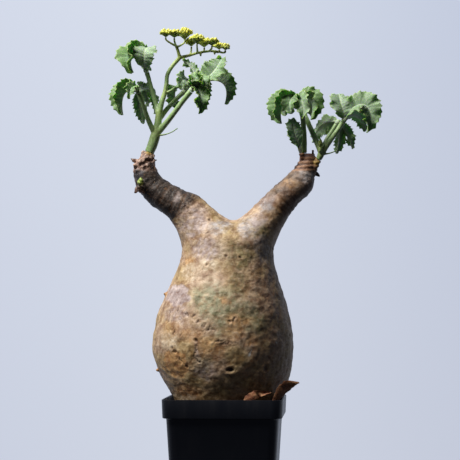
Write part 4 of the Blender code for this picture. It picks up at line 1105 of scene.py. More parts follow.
def add_leaf(name, material):
    """A palmate leaf: leaflets that meet in a small hub at the top of their stalk."""
    points, _ = LEAF_STALKS[name]
    route = smooth_route(points, 2)
    hub = Vector(points[-1])
    way = way_along(route)
    foot = hub - way * HUB_REACH
    radius = HUB_RADIUS
    if name == "right_leaf_5":
        foot = Vector(points[0]) + way * GAP
        radius = HUB_RADIUS * 0.7
    shapes = []
    uvs = []
    sides = []
    tones = []
    for number, leaflet in enumerate(LEAVES[name]):
        blade_points, faces, notes, blade_sides = leaflet_blade(hub, leaflet, f"{name}{number}")
        shapes.append((blade_points, faces))
        uvs += notes
        sides += blade_sides
        tones += [leaflet.tone] * len(blade_points)
    knob = stalk(TREES["stalk"], smooth_route((foot, hub - way * 0.6, hub + way * 1.8), 4),
                 (radius * 0.8, radius * 0.95, radius * 0.45), 0.5, 14)
    shapes.append(knob)
    uvs += [(0.0, 0.5)] * len(knob[0])
    sides += [0.2] * len(knob[0])
    tones += [0.4] * len(knob[0])
    mesh = mesh_of(name, together(shapes))
    paint(mesh, "side", sides)
    paint(mesh, "tone", tones)
    layer = mesh.uv_layers.new(name="blade")
    for loop in mesh.loops:
        layer.data[loop.index].uv = uvs[loop.vertex_index]
    return place_piece(name + "_blades", mesh, PLANT_PLACE, "leaf", name, materials=(material,))


def head_tree():
    """A flower head: buds on thin stalks that fan out from its foot into a low dome."""
    tree, given, end = new_tree(
        "flower head",
        (("Foot", "Vector"), ("Radius", "Float"), ("Height", "Float"), ("Buds", "Int"), ("Bud size", "Float"),
         ("Stalk radius", "Float"), ("Seed", "Int"), ("Bud material", "Material"), ("Stalk material", "Material")),
    )
    index = add_node(tree, "GeometryNodeInputIndex").outputs[0]
    share = math_node(tree, "DIVIDE", math_node(tree, "ADD", index, 0.3), given["Buds"])
    reach = math_node(tree, "MULTIPLY", math_node(tree, "SQRT", share), given["Radius"])
    turn = math_node(tree, "MULTIPLY", index, math.radians(137.5))
    jitter = add_node(tree, "FunctionNodeRandomValue", {2: -1.0, 3: 1.0, "Seed": given["Seed"]}, data_type="FLOAT")
    dome = math_node(tree, "MULTIPLY_ADD", share, -0.6)
    dome.node.inputs[2].default_value = 1.15
    lift = math_node(tree, "ADD", math_node(tree, "MULTIPLY", dome, given["Height"]), jitter.outputs[1])
    across = math_node(tree, "ADD", reach, math_node(tree, "MULTIPLY", jitter.outputs[1], 0.6))
    x = math_node(tree, "MULTIPLY", across, math_node(tree, "COSINE", turn))
    y = math_node(tree, "MULTIPLY", across, math_node(tree, "SINE", turn))
    offset = add_node(tree, "ShaderNodeCombineXYZ", {0: x, 1: y, 2: math_node(tree, "ADD", lift, 1.2)}).outputs[0]
    place = add_node(tree, "ShaderNodeVectorMath", {0: given["Foot"], 1: offset}, operation="ADD").outputs[0]
    points = add_node(tree, "GeometryNodePoints", {"Count": given["Buds"], "Position": place}).outputs[0]
    aim = add_node(tree, "FunctionNodeAlignRotationToVector", {"Vector": offset}).outputs[0]

    size = add_node(tree, "FunctionNodeRandomValue", {2: 0.8, 3: 1.2, "Seed": given["Seed"]}, data_type="FLOAT").outputs[1]
    size = math_node(tree, "MULTIPLY", size, given["Bud size"])
    sphere = add_node(tree, "GeometryNodeMeshUVSphere", {"Segments": 8, "Rings": 6, "Radius": 1.0}).outputs[0]
    bud = add_node(tree, "GeometryNodeTransform", {"Geometry": sphere, "Scale": (1.0, 1.0, 1.25)}).outputs[0]
    buds = add_node(
        tree, "GeometryNodeInstanceOnPoints", {"Points": points, "Instance": bud, "Rotation": aim, "Scale": size}
    ).outputs[0]
    ripeness = add_node(tree, "FunctionNodeRandomValue", {2: 0.0, 3: 1.0, "Seed": given["Seed"]}, data_type="FLOAT")
    buds = add_node(
        tree,
        "GeometryNodeStoreNamedAttribute",
        {"Geometry": buds, "Name": "ripe", "Value": ripeness.outputs[1]},
        data_type="FLOAT",
        domain="INSTANCE",
    ).outputs[0]
    buds = add_node(tree, "GeometryNodeSetMaterial", {"Geometry": buds, "Material": given["Bud material"]}).outputs[0]

    rod = add_node(tree, "GeometryNodeMeshCylinder", {"Vertices": 6, "Radius": 1.0, "Depth": 1.0}).outputs[0]
    rod = add_node(tree, "GeometryNodeTransform", {"Geometry": rod, "Translation": (0, 0, -0.5)}).outputs[0]
    length = add_node(tree, "ShaderNodeVectorMath", {0: offset}, operation="LENGTH").outputs["Value"]
    stretch = add_node(
        tree, "ShaderNodeCombineXYZ", {0: given["Stalk radius"], 1: given["Stalk radius"], 2: length}
    ).outputs[0]
    rods = add_node(
        tree, "GeometryNodeInstanceOnPoints", {"Points": points, "Instance": rod, "Rotation": aim, "Scale": stretch}
    ).outputs[0]
    rods = add_node(tree, "GeometryNodeSetMaterial", {"Geometry": rods, "Material": given["Stalk material"]}).outputs[0]
    both = add_node(tree, "GeometryNodeJoinGeometry")
    tree.links.new(rods, both.inputs[0])
    tree.links.new(buds, both.inputs[0])
    real = add_node(tree, "GeometryNodeRealizeInstances", {"Geometry": both.outputs[0]})
    tree.links.new(real.outputs[0], end.inputs[0])
    return tree


def add_head(name, bud_material, stalk_material):
    """A flower head, with a small knob where its stalks meet."""
    _, foot, radius, height, buds = HEADS[name]
    foot = Vector(foot)
    sizes = {
        "Foot": foot,
        "Radius": radius,
        "Height": height,
        "Buds": buds,
        "Bud size": 0.92,
        "Stalk radius": 0.28,
        "Seed": int(name[-1]),
        "Bud material": bud_material,
        "Stalk material": stalk_material,
    }
    mesh = grown(TREES["head"], sizes)
    work = bmesh.new()
    work.from_mesh(mesh)
    knob = mesh_of("knob", ball(foot + Vector((0, 0, 0.75)), (1.2, 1.2, 0.8), detail=2))
    knob.materials.append(bud_material)
    knob.materials.append(stalk_material)
    stalk_slot = mesh.materials.find(stalk_material.name)
    knob.polygons.foreach_set("material_index", [stalk_slot] * len(knob.polygons))
    work.from_mesh(knob)
    work.to_mesh(mesh)
    work.free()
    paint(mesh, "tender_and_shade", [0.8] * len(mesh.vertices))
    return place_piece(name + "_buds", mesh, PLANT_PLACE, "flower", name)


def add_bud(name, seat_and_tip, radius, material):
    """A small pointed leaf bud, its skin raised in three low ridges that wind round it."""
    foot, tip = [Vector(point) for point in raised(seat_and_tip)]
    core = stalk(
        TREES["stalk"],
        smooth_route([foot, foot.lerp(tip, 0.35), foot.lerp(tip, 0.7), tip], 4),
        (radius * 0.6, radius, radius * 0.8, radius * 0.15),
        0.3,
        16,
    )
    mesh = mesh_of(name, core)
    for vert in mesh.vertices:
        offset = vert.co - foot
        turn = math.atan2(offset.y, offset.x)
        vert.co += vert.normal * radius * 0.10 * math.sin(3 * turn + offset.z * 1.2)
    return place_piece(name + "_scales", mesh, PLANT_PLACE, "bud", name, materials=(material,))


def add_scrap(name, material):
    """A shed papery scrap: a thin curled sheet with a torn edge."""
    spine, half_widths, lean = SCRAPS[name]
    route = smooth_route(spine, 10)
    lean = Vector(lean)
    columns = 12
    upper, lower = [], []
    for index, centre in enumerate(route):
        place = index / (len(route) - 1) * (len(half_widths) - 1)
        low = min(int(place), len(half_widths) - 2)
        half = half_widths[low] + (half_widths[low + 1] - half_widths[low]) * (place - low)
        way = (route[min(index + 1, len(route) - 1)] - route[max(index - 1, 0)]).normalized()
        up = lean.cross(way).normalized()
        if up.z < 0:
            up.negate()
        for column in range(columns + 1):
            part = column / columns * 2 - 1
            torn = 1 + 0.16 * noise.noise(Vector((index * 0.45, math.copysign(3.0, part), 1.0)))
            curl = 0.6 + 0.9 * part**2 + 0.3 * noise.noise(Vector((index * 0.2, part * 1.5, 5.0)))
            point = centre + lean * (half * part * torn) + up * curl
            upper.append(point + up * 0.16)
            lower.append(point - up * 0.16)
    across = columns + 1
    shift = len(upper)
    faces = []
    for row in range(len(route) - 1):
        for column in range(columns):
            corner = row * across + column
            quad = (corner, corner + 1, corner + 1 + across, corner + across)
            faces.append(quad)
            faces.append(tuple(index + shift for index in reversed(quad)))
    last = (len(route) - 1) * across
    outline = [*range(across), *(row * across + columns for row in range(1, len(route)))]
    outline += [*range(last + columns - 1, last - 1, -1), *(row * across for row in range(len(route) - 2, 0, -1))]
    for here, after in zip(outline, outline[1:] + outline[:1]):
        faces.append((after, here, here + shift, after + shift))
    mesh = mesh_of(name, (upper + lower, faces))
    return place_piece(name + "_sheet", mesh, POT_PLACE, "papery", name, materials=(material,))


def rounded_square(half, corner, height, points_per_corner=CORNER_POINTS):
    """A level square ring with round corners."""
    ring = []
    for quarter in range(4):
        start = quarter * math.pi / 2
        middle = Vector((half - corner, half - corner, 0))
        middle.rotate(Euler((0, 0, start)))
        for step in range(points_per_corner):
            turn = start + step / (points_per_corner - 1) * math.pi / 2
            ring.append(middle + Vector((math.cos(turn) * corner, math.sin(turn) * corner, height)))
    return ring


def corner_of(half):
    """The corner radius of a level ring of the pot with this half width."""
    return POT_CORNER - (POT_RIM_HALF - half) * 0.25


def pot_wall_inside(height):
    """The half width between the pot's inner faces at a height."""
    if height >= BAND_FOOT:
        return POT_RIM_HALF - POT_WALL - 0.4 * (POT_HEIGHT - height) / POT_BAND
    slope = (POT_NECK_HALF - POT_BASE_HALF) / BAND_FOOT
    return POT_BASE_HALF - POT_WALL + slope * height


def add_pot(material):
    """A moulded shell: tapered walls, a stepped band under the rim, and a floor with drainage holes."""
    profile = (
        (0.0, POT_BASE_HALF - 1.0),
        (0.25, POT_BASE_HALF - 0.4),
        (0.9, POT_BASE_HALF),
        (BAND_FOOT - 0.9, POT_NECK_HALF),
        (BAND_FOOT - 0.3, POT_NECK_HALF + 0.3),
        (BAND_FOOT, POT_RIM_HALF - 1.1),
        (BAND_FOOT + 0.25, POT_RIM_HALF - 0.7),
        (BAND_FOOT + 1.0, POT_RIM_HALF - 0.5),
        (POT_HEIGHT - 0.5, POT_RIM_HALF),
        (POT_HEIGHT - 0.12, POT_RIM_HALF - 0.12),
        (POT_HEIGHT, POT_RIM_HALF - 0.4),
        (POT_HEIGHT, POT_RIM_HALF - 0.85),
        (POT_HEIGHT - 0.12, POT_RIM_HALF - 1.08),
        (POT_HEIGHT - 0.5, pot_wall_inside(POT_HEIGHT)),
        (BAND_FOOT + 1.4, pot_wall_inside(BAND_FOOT + 1.4)),
        (BAND_FOOT - 0.8, pot_wall_inside(BAND_FOOT - 0.8)),
        (POT_FLOOR, pot_wall_inside(POT_FLOOR)),
    )
    rings = [rounded_square(half, corner_of(half), height) for height, half in profile]
    pot = linked(bpy.data.objects.new("pot shell", mesh_of("pot shell", loft(rings))))
    holes = []
    for step in range(8):
        turn = step * math.tau / 8
        reach = DRAIN_REACH * (1.2 if step % 2 else 1.0)
        x = math.cos(turn) * reach
        y = math.sin(turn) * reach
        circle = [Vector((x + math.cos(a) * DRAIN_RADIUS, y + math.sin(a) * DRAIN_RADIUS, 0))
                  for a in (corner * math.tau / 24 for corner in range(24))]
        holes.append(loft([[point + Vector((0, 0, level)) for point in circle] for level in (-2, POT_FLOOR + 2)]))
    cutter = linked(bpy.data.objects.new("holes", mesh_of("holes", together(holes))))
    cut = pot.modifiers.new("holes", "BOOLEAN")
    cut.operation = "DIFFERENCE"
    cut.object = cutter
    mesh = evaluated_mesh(pot)
    bpy.data.objects.remove(pot)
    bpy.data.objects.remove(cutter)
    piece = place_piece("pot_shell", mesh, POT_PLACE, "pot", "pot", materials=(material,))
    mesh.set_sharp_from_angle(angle=math.radians(28))
    return piece


def grain_tree():
    """Scatters angular grit over the soil's surface."""
    tree, given, end = new_tree(
        "grit", (("Ground", "Geometry"), ("Density", "Float"), ("Size", "Float"), ("Seed", "Int"), ("Material", "Material"))
    )
    scatter = add_node(
        tree,
        "GeometryNodeDistributePointsOnFaces",
        {"Mesh": given["Ground"], "Density": given["Density"], "Seed": given["Seed"]},
    )
    grain = add_node(tree, "GeometryNodeMeshIcoSphere", {"Radius": 1.0, "Subdivisions": 2}).outputs[0]
    position = add_node(tree, "GeometryNodeInputPosition").outputs[0]
    rough = add_node(tree, "ShaderNodeTexVoronoi", {"Vector": position, "Scale": 1.1}, feature="F1")
    shove = add_node(
        tree,
        "ShaderNodeVectorMath",
        {0: position, "Scale": math_node(tree, "MULTIPLY_ADD", rough.outputs["Distance"], -0.75)},
        operation="SCALE",
    ).outputs[0]
    grain = add_node(tree, "GeometryNodeSetPosition", {"Geometry": grain, "Offset": shove}).outputs[0]
    squash = add_node(
        tree,
        "FunctionNodeRandomValue",
        {0: (0.55, 0.5, 0.35), 1: (1.1, 0.95, 0.75), "Seed": given["Seed"]},
        data_type="FLOAT_VECTOR",
    ).outputs[0]
    scale = add_node(tree, "ShaderNodeVectorMath", {0: squash, "Scale": given["Size"]}, operation="SCALE").outputs[0]
    spin = add_node(
        tree, "FunctionNodeRandomValue", {0: (0, 0, 0), 1: (6.3, 6.3, 6.3), "Seed": 5}, data_type="FLOAT_VECTOR"
    ).outputs[0]
    turn = add_node(tree, "FunctionNodeEulerToRotation", {0: spin}).outputs[0]
    grains = add_node(
        tree,
        "GeometryNodeInstanceOnPoints",
        {"Points": scatter.outputs[0], "Instance": grain, "Rotation": turn, "Scale": scale},
    ).outputs[0]
    kind = add_node(tree, "FunctionNodeRandomValue", {2: 0.0, 3: 1.0, "Seed": 9}, data_type="FLOAT").outputs[1]
    grains = add_node(
        tree,
        "GeometryNodeStoreNamedAttribute",
        {"Geometry": grains, "Name": "grain", "Value": kind},
        data_type="FLOAT",
        domain="INSTANCE",
    ).outputs[0]
    close_tree(tree, grains, given["Material"], end)
    return tree


def soil_ground():
    """The level of the soil at its top, uneven, up to the pot's wall."""
    side = pot_wall_inside(SOIL_TOP) - GAP - 0.8
    count = SOIL_SHEET_STEPS
    points = []
    faces = []
    for row in range(count + 1):
        for column in range(count + 1):
            x = (column / count * 2 - 1) * side
            y = (row / count * 2 - 1) * side
            z = SOIL_TOP + 0.5 + 1.2 * noise.noise(Vector((x / 12, y / 12, 0)))
            points.append(Vector((x, y, z)))
    for row in range(count):
        for column in range(count):
            corner = row * (count + 1) + column
            x, y, _ = points[corner]
            if math.hypot(x, y) > 31 and max(abs(x), abs(y)) + min(abs(x), abs(y)) * 0.5 < side * 1.44:
                faces.append((corner, corner + 1, corner + count + 2, corner + count + 1))
    return points, faces


def add_soil(material):
    """Gritty mix from the pot's floor to just under its rim, with loose grains on top."""
    rings = []
    for level in (POT_FLOOR, BAND_FOOT - 0.8, BAND_FOOT + 1.4):
        wall = pot_wall_inside(level)
        rings.append(rounded_square(wall - GAP, corner_of(wall) - GAP, level + GAP))
    side = pot_wall_inside(SOIL_TOP) - GAP
    for inset in (0.0, 2.0, 4.0, 6.5, 9.0, 12.0, 16.0):
        ring = rounded_square(side - inset, max(corner_of(side) - GAP, 4), SOIL_TOP)
        for point in ring:
            point.z += 0.8 * noise.noise(Vector((point.x / 5, point.y / 5, 2.0))) - (0.8 if inset == 0 else 0)
        rings.append(ring)
    bed = mesh_of("soil", loft(rings))
    bed.materials.append(material)
    ground = bpy.data.meshes.new("ground")
    points, faces = soil_ground()
    ground.from_pydata(points, [], faces)
    sizes = {"Density": GRAIN_DENSITY, "Size": GRAIN_SIZE, "Seed": 3, "Material": material}
    grains = grown(TREES["grain"], sizes, ground)
    work = bmesh.new()
    work.from_mesh(grains)
    work.from_mesh(bed)
    mesh = bpy.data.meshes.new("soil")
    work.to_mesh(mesh)
    work.free()
    piece = place_piece("soil_grit", mesh, POT_PLACE, "soil", "soil", materials=(material,))
    mesh.set_sharp_from_angle(angle=math.radians(40))
    return piece


def surface(name, roughness=0.5, specular=0.5):
    """A new material, its tree and its Principled shader."""
    material = bpy.data.materials.new(name)
    material.use_nodes = True
    tree = material.node_tree
    shader = tree.nodes["Principled BSDF"]
    shader.inputs["Roughness"].default_value = roughness
    shader.inputs["Specular IOR Level"].default_value = specular
    return material, tree, shader


def object_place(tree, stretch=(1, 1, 1)):
    """Object coordinates, stretched."""
    coordinates = tree.nodes.new("ShaderNodeTexCoord").outputs["Object"]
    return add_node(tree, "ShaderNodeMapping", {"Vector": coordinates, "Scale": stretch}).outputs[0]


def grain_of(tree, place, size, detail=4.0, roughness=0.6, distortion=0.0):
    """Noise whose blotches are about this many millimetres across."""
    inputs = {"Vector": place, "Scale": 1 / (size * MM), "Detail": detail, "Roughness": roughness, "Distortion": distortion}
    return add_node(tree, "ShaderNodeTexNoise", inputs).outputs["Fac"]


def ramp(tree, factor, *stops):
    """A colour ramp, from (place, colour) stops."""
    node = add_node(tree, "ShaderNodeValToRGB", {"Fac": factor})
    elements = node.color_ramp.elements
    while len(elements) < len(stops):
        elements.new(0.5)
    for element, (place, colour) in zip(elements, stops):
        element.position = place
        element.color = (*colour, 1) if len(colour) == 3 else colour
    return node.outputs["Color"]


def threshold(tree, value, low, high):
    """0 below low, 1 above high."""
    node = add_node(tree, "ShaderNodeMapRange", {"Value": value, "From Min": low, "From Max": high})
    return node.outputs["Result"]


def mixed(tree, factor, first, second, blend="MIX"):
    node = add_node(tree, "ShaderNodeMix", {"Factor": factor}, data_type="RGBA", blend_type=blend)
    for key, value in ((6, first), (7, second)):
        if isinstance(value, bpy.types.NodeSocket):
            tree.links.new(value, node.inputs[key])
        else:
            node.inputs[key].default_value = (*value, 1)
    return node.outputs[2]


def note(tree, name):
    """A number that the mesh keeps for each of its points."""
    return add_node(tree, "ShaderNodeAttribute", attribute_name=name).outputs["Fac"]


def bumped(tree, shader, height, depth, strength=1.0):
    """Bump this many millimetres deep."""
    inputs = {"Height": height, "Distance": depth * MM, "Strength": strength}
    bump = add_node(tree, "ShaderNodeBump", inputs)
    tree.links.new(bump.outputs[0], shader.inputs["Normal"])


def bark_material():
    """Thin peeling bark: tan and ochre, with lilac-grey, green and orange patches (a few of them painted highlight,
    painted reflection and painted shade), dark cracks, a grey-brown right arm, and a near-black left arm that is partly
    painted shade.
    """
    material, tree, shader = surface("peeling bark", 0.6, 0.4)
    place = object_place(tree)
    mottle = grain_of(tree, object_place(tree, (1, 1, 1.4)), 3.2, 6, 0.72, 0.5)
    fleck = grain_of(tree, object_place(tree, (1, 1, 1.2)), 2.0, 4, 0.65, 0.4)
    speck = grain_of(tree, place, 1.0, 3, 0.6)
    streak = grain_of(tree, object_place(tree, (1, 1, 4)), 4.0, 5, 0.7)
    bent = add_node(tree, "ShaderNodeTexNoise", {"Vector": place, "Scale": 1 / (3 * MM), "Detail": 3.0}).outputs["Color"]
    bent = add_node(tree, "ShaderNodeVectorMath", {0: bent, "Scale": 5 * MM}, operation="SCALE").outputs[0]
    bent = add_node(tree, "ShaderNodeVectorMath", {0: place, 1: bent}, operation="ADD").outputs[0]
    cell = add_node(tree, "ShaderNodeTexVoronoi", {"Vector": bent, "Scale": 1 / (7 * MM)}, feature="DISTANCE_TO_EDGE")
    crack = math_node(tree, "MULTIPLY", threshold(tree, cell.outputs["Distance"], 0.05, 0.015), note(tree, "cracks"))
    crack = math_node(tree, "MULTIPLY", crack, threshold(tree, fleck, 0.50, 0.58))
    colour = add_node(tree, "ShaderNodeAttribute", attribute_name="tint").outputs["Color"]
    shadow = ramp(tree, mottle, (0.34, (0.62, 0.54, 0.47)), (0.46, (0.92, 0.89, 0.86)), (0.53, (1.0, 1.0, 1.0)))
    colour = mixed(tree, 1.0, colour, shadow, "MULTIPLY")
    bright = math_node(tree, "MULTIPLY", threshold(tree, mottle, 0.54, 0.68), 0.30)
    colour = mixed(tree, bright, colour, mixed(tree, 0.5, colour, (0.86, 0.78, 0.68)))
    rust = math_node(tree, "MULTIPLY", threshold(tree, fleck, 0.60, 0.68), 0.5)
    colour = mixed(tree, rust, colour, mixed(tree, 0.75, colour, (0.50, 0.24, 0.09)))
    dark_streak = math_node(tree, "MULTIPLY", threshold(tree, streak, 0.58, 0.70), 0.4)
    colour = mixed(tree, dark_streak, colour, mixed(tree, 0.6, colour, (0.10, 0.055, 0.03)))
    light_speck = math_node(tree, "MULTIPLY", threshold(tree, speck, 0.60, 0.70), 0.5)
    colour = mixed(tree, light_speck, colour, mixed(tree, 0.45, colour, (0.80, 0.70, 0.58)))
    dark_speck = math_node(tree, "MULTIPLY", threshold(tree, speck, 0.41, 0.33), 0.6)
    colour = mixed(tree, dark_speck, colour, mixed(tree, 0.7, colour, (0.10, 0.05, 0.025)))
    colour = mixed(tree, note(tree, "lip"), colour, mixed(tree, 0.6, colour, (0.62, 0.42, 0.25)))
    edge = math_node(tree, "MULTIPLY", note(tree, "edge"), threshold(tree, fleck, 0.40, 0.54))
    colour = mixed(tree, edge, colour, mixed(tree, 0.75, colour, (0.13, 0.06, 0.025)))
    colour = mixed(tree, math_node(tree, "MULTIPLY", crack, 0.75), colour, (0.13, 0.058, 0.024))
    colour = mixed(tree, note(tree, "pit"), colour, (0.07, 0.030, 0.014))
    tree.links.new(colour, shader.inputs["Base Color"])
    tree.links.new(threshold(tree, mottle, -0.5, 1.3), shader.inputs["Roughness"])
    height = math_node(tree, "ADD", math_node(tree, "MULTIPLY", mottle, 0.8), math_node(tree, "MULTIPLY", streak, 0.25))
    height = math_node(tree, "ADD", height, math_node(tree, "MULTIPLY", speck, 0.3))
    height = math_node(tree, "SUBTRACT", height, math_node(tree, "MULTIPLY", crack, 0.4))
    bumped(tree, shader, height, 0.42)
    return material


def leaf_material():
    """Fleshy leaf: pale and waxy by the midrib, deeper green above and at the margin, with pale side veins."""
    material, tree, shader = surface("fleshy leaf", 0.45, 0.45)
    place = object_place(tree)
    blotch = grain_of(tree, place, 5, 4, 0.6)
    fine = grain_of(tree, place, 0.9, 4, 0.65)
    blade = tree.nodes.new("ShaderNodeUVMap")
    blade.uv_map = "blade"
    split = add_node(tree, "ShaderNodeSeparateXYZ", {0: blade.outputs[0]})
    across = math_node(tree, "ABSOLUTE", math_node(tree, "MULTIPLY", math_node(tree, "SUBTRACT", split.outputs[1], 0.5), 2.0))
    side = note(tree, "side")
    tone = note(tree, "tone")
    deep = mixed(tree, blotch, (0.070, 0.155, 0.038), (0.16, 0.28, 0.095))
    waxy = mixed(tree, blotch, (0.27, 0.38, 0.25), (0.45, 0.55, 0.42))
    margin = mixed(tree, blotch, (0.13, 0.24, 0.070), (0.26, 0.39, 0.16))
    soft = mixed(tree, blotch, (0.18, 0.29, 0.15), (0.34, 0.46, 0.31))
    under = mixed(tree, threshold(tree, across, 0.15, 0.85), waxy, margin)
    above = mixed(tree, threshold(tree, across, 0.10, 0.55), soft, deep)
    above = mixed(tree, threshold(tree, across, 0.6, 1.0), above, margin)
    colour = mixed(tree, side, under, above)
    colour = mixed(tree, math_node(tree, "MULTIPLY", threshold(tree, tone, 0.5, 1.0), 0.8), colour, deep)
    colour = mixed(tree, math_node(tree, "MULTIPLY", threshold(tree, tone, 0.5, 0.0), 0.8), colour, waxy)
    vein_place = math_node(tree, "SUBTRACT", math_node(tree, "MULTIPLY", split.outputs[0], 13.0),
                           math_node(tree, "MULTIPLY", across, 1.1))
    vein = math_node(tree, "PINGPONG", vein_place, 0.5)
    vein = math_node(tree, "MULTIPLY", threshold(tree, vein, 0.10, 0.0), threshold(tree, across, 1.0, 0.5))
    colour = mixed(tree, math_node(tree, "MULTIPLY", vein, 0.4), colour, (0.42, 0.54, 0.33))
    midrib = threshold(tree, across, 0.10, 0.03)
    colour = mixed(tree, math_node(tree, "MULTIPLY", midrib, 0.7), colour, (0.50, 0.60, 0.40))
    rim = threshold(tree, across, 0.955, 1.0)
    colour = mixed(tree, math_node(tree, "MULTIPLY", rim, 0.6), colour, (0.40, 0.50, 0.16))
    tree.links.new(colour, shader.inputs["Base Color"])
    shader.inputs["Subsurface Weight"].default_value = 0.5
    shader.inputs["Subsurface Radius"].default_value = (0.6, 1.0, 0.25)
    shader.inputs["Subsurface Scale"].default_value = 0.0018
    tree.links.new(threshold(tree, fine, -0.9, 1.6), shader.inputs["Roughness"])
    bumped(tree, shader, math_node(tree, "ADD", fine, math_node(tree, "MULTIPLY", blotch, 1.5)), 0.25)
    return material


def stem_material():
    """Smooth fleshy green with fine stripes, yellow where the stalks part, and dark green painted shade where the note
    is below 0.
    """
    material, tree, shader = surface("fleshy green stem", 0.42, 0.5)
    place = object_place(tree)
    upright = object_place(tree, (1, 1, 0.16))
    blotch = grain_of(tree, place, 5, 3, 0.5)
    stripe = grain_of(tree, upright, 1.1, 3, 0.6)
    green = mixed(tree, blotch, (0.20, 0.34, 0.11), (0.36, 0.50, 0.23))
    colour = mixed(tree, math_node(tree, "MULTIPLY", threshold(tree, stripe, 0.5, 0.7), 0.5), green, (0.50, 0.60, 0.36))
    tender_and_shade = note(tree, "tender_and_shade")
    colour = mixed(tree, math_node(tree, "MULTIPLY", threshold(tree, tender_and_shade, 0.0, 1.0), 0.85), colour, (0.50, 0.56, 0.13))
    # Painted shade: below 0 the green turns dark.
    colour = mixed(tree, math_node(tree, "MULTIPLY", threshold(tree, tender_and_shade, 0.0, -1.0), 0.85), colour, (0.09, 0.16, 0.05))
    tree.links.new(colour, shader.inputs["Base Color"])
    shader.inputs["Subsurface Weight"].default_value = 0.15
    shader.inputs["Subsurface Radius"].default_value = (0.5, 1.0, 0.2)
    shader.inputs["Subsurface Scale"].default_value = 0.0015
    bumped(tree, shader, math_node(tree, "ADD", stripe, blotch), 0.15)
    return material


def flower_material():
    """Small yellow-green buds, the riper ones yellow."""
    material, tree, shader = surface("yellow flower bud", 0.5, 0.4)
    place = object_place(tree)
    fine = grain_of(tree, place, 0.7, 3, 0.6)
    ripe = threshold(tree, note(tree, "ripe"), 0.25, 0.75)
    green = mixed(tree, fine, (0.36, 0.42, 0.07), (0.52, 0.58, 0.16))
    yellow = mixed(tree, fine, (0.54, 0.53, 0.08), (0.74, 0.72, 0.20))
    tree.links.new(mixed(tree, ripe, green, yellow), shader.inputs["Base Color"])
    shader.inputs["Subsurface Weight"].default_value = 0.7
    shader.inputs["Subsurface Radius"].default_value = (1.0, 1.0, 0.3)
    shader.inputs["Subsurface Scale"].default_value = 0.0025
    bumped(tree, shader, fine, 0.15)
    return material


def bud_material():
    """Tender yellow-green, striped towards the tip."""
    material, tree, shader = surface("tender bud", 0.45, 0.45)
    place = object_place(tree, (1, 1, 0.3))
    fine = grain_of(tree, place, 1.0, 4, 0.6)
    colour = ramp(tree, fine, (0.35, (0.12, 0.19, 0.035)), (0.5, (0.27, 0.36, 0.07)), (0.65, (0.50, 0.56, 0.18)))
    tree.links.new(colour, shader.inputs["Base Color"])
    bumped(tree, shader, fine, 0.2)
    return material


def papery_material():
    """Dry red-brown bark and leaf scraps, paler at their veins."""
    material, tree, shader = surface("dry papery scrap", 0.7, 0.3)
    place = object_place(tree)
    blotch = grain_of(tree, place, 4, 4, 0.6, 0.5)
    fine = grain_of(tree, object_place(tree, (1, 1, 3)), 1.0, 4, 0.65)
    colour = ramp(tree, blotch, (0.35, (0.10, 0.035, 0.018)), (0.5, (0.28, 0.10, 0.045)), (0.66, (0.48, 0.25, 0.12)))
    colour = mixed(tree, math_node(tree, "MULTIPLY", threshold(tree, fine, 0.52, 0.7), 0.5), colour, (0.60, 0.40, 0.24))
    tree.links.new(colour, shader.inputs["Base Color"])
    bumped(tree, shader, fine, 0.3)
    return material


def soil_material():
    """Damp mineral grit: dark brown, grey, reddish and a few pale grains."""
    material, tree, shader = surface("gritty soil", 0.85, 0.3)
    place = object_place(tree)
    fine = grain_of(tree, place, 0.8, 5, 0.7)
    kind = note(tree, "grain")
    colour = ramp(
        tree, kind,
        (0.0, (0.045, 0.028, 0.018)), (0.3, (0.11, 0.065, 0.038)), (0.55, (0.20, 0.10, 0.055)),
        (0.72, (0.16, 0.14, 0.12)), (0.88, (0.42, 0.36, 0.28)), (1.0, (0.62, 0.58, 0.50)),
    )
    colour = mixed(tree, math_node(tree, "MULTIPLY", fine, 0.6), colour, (0.03, 0.02, 0.014))
    tree.links.new(colour, shader.inputs["Base Color"])
    bumped(tree, shader, fine, 0.4)
    return material


def pot_material():
    """Black moulded plastic with a fine matt grain, faint scuffs and a little dust."""
    material, tree, shader = surface("black moulded plastic", 0.38, 0.3)
    place = object_place(tree)
    grain = grain_of(tree, place, 0.5, 3, 0.6)
    scuff = grain_of(tree, object_place(tree, (1, 1, 0.25)), 7, 5, 0.7)
    dust = math_node(tree, "MULTIPLY", threshold(tree, scuff, 0.56, 0.8), 0.08)
    tree.links.new(mixed(tree, dust, (0.005, 0.006, 0.009), (0.05, 0.048, 0.046)), shader.inputs["Base Color"])
    tree.links.new(threshold(tree, scuff, -0.4, 1.9), shader.inputs["Roughness"])
    bumped(tree, shader, grain, 0.05)
    return material


def floor_material():
    material, tree, shader = surface("pale floor", 0.7, 0.2)
    soft = grain_of(tree, object_place(tree), 60, 2, 0.5)
    tree.links.new(mixed(tree, soft, (0.62, 0.64, 0.69), (0.65, 0.67, 0.72)), shader.inputs["Base Color"])
    return material


LENS = 138.0
EYE_PLACE = (0.0034, -1.345, 0.165)
EYE_LIFT = math.radians(2.43)
FLOOR_RADIUS = 0.42


def add_camera():
    """The view of the photograph: level with the caudex, looking up a little."""
    lens = bpy.data.cameras.new("camera")
    lens.lens = LENS
    lens.sensor_width = 36.0
    camera = linked(bpy.data.objects.new("camera", lens))
    camera.location = Matrix.Rotation(PLANT_TURN, 3, "Z") @ Vector(EYE_PLACE)
    camera.rotation_euler = (math.pi / 2 + EYE_LIFT, 0, PLANT_TURN)
    bpy.context.scene.camera = camera


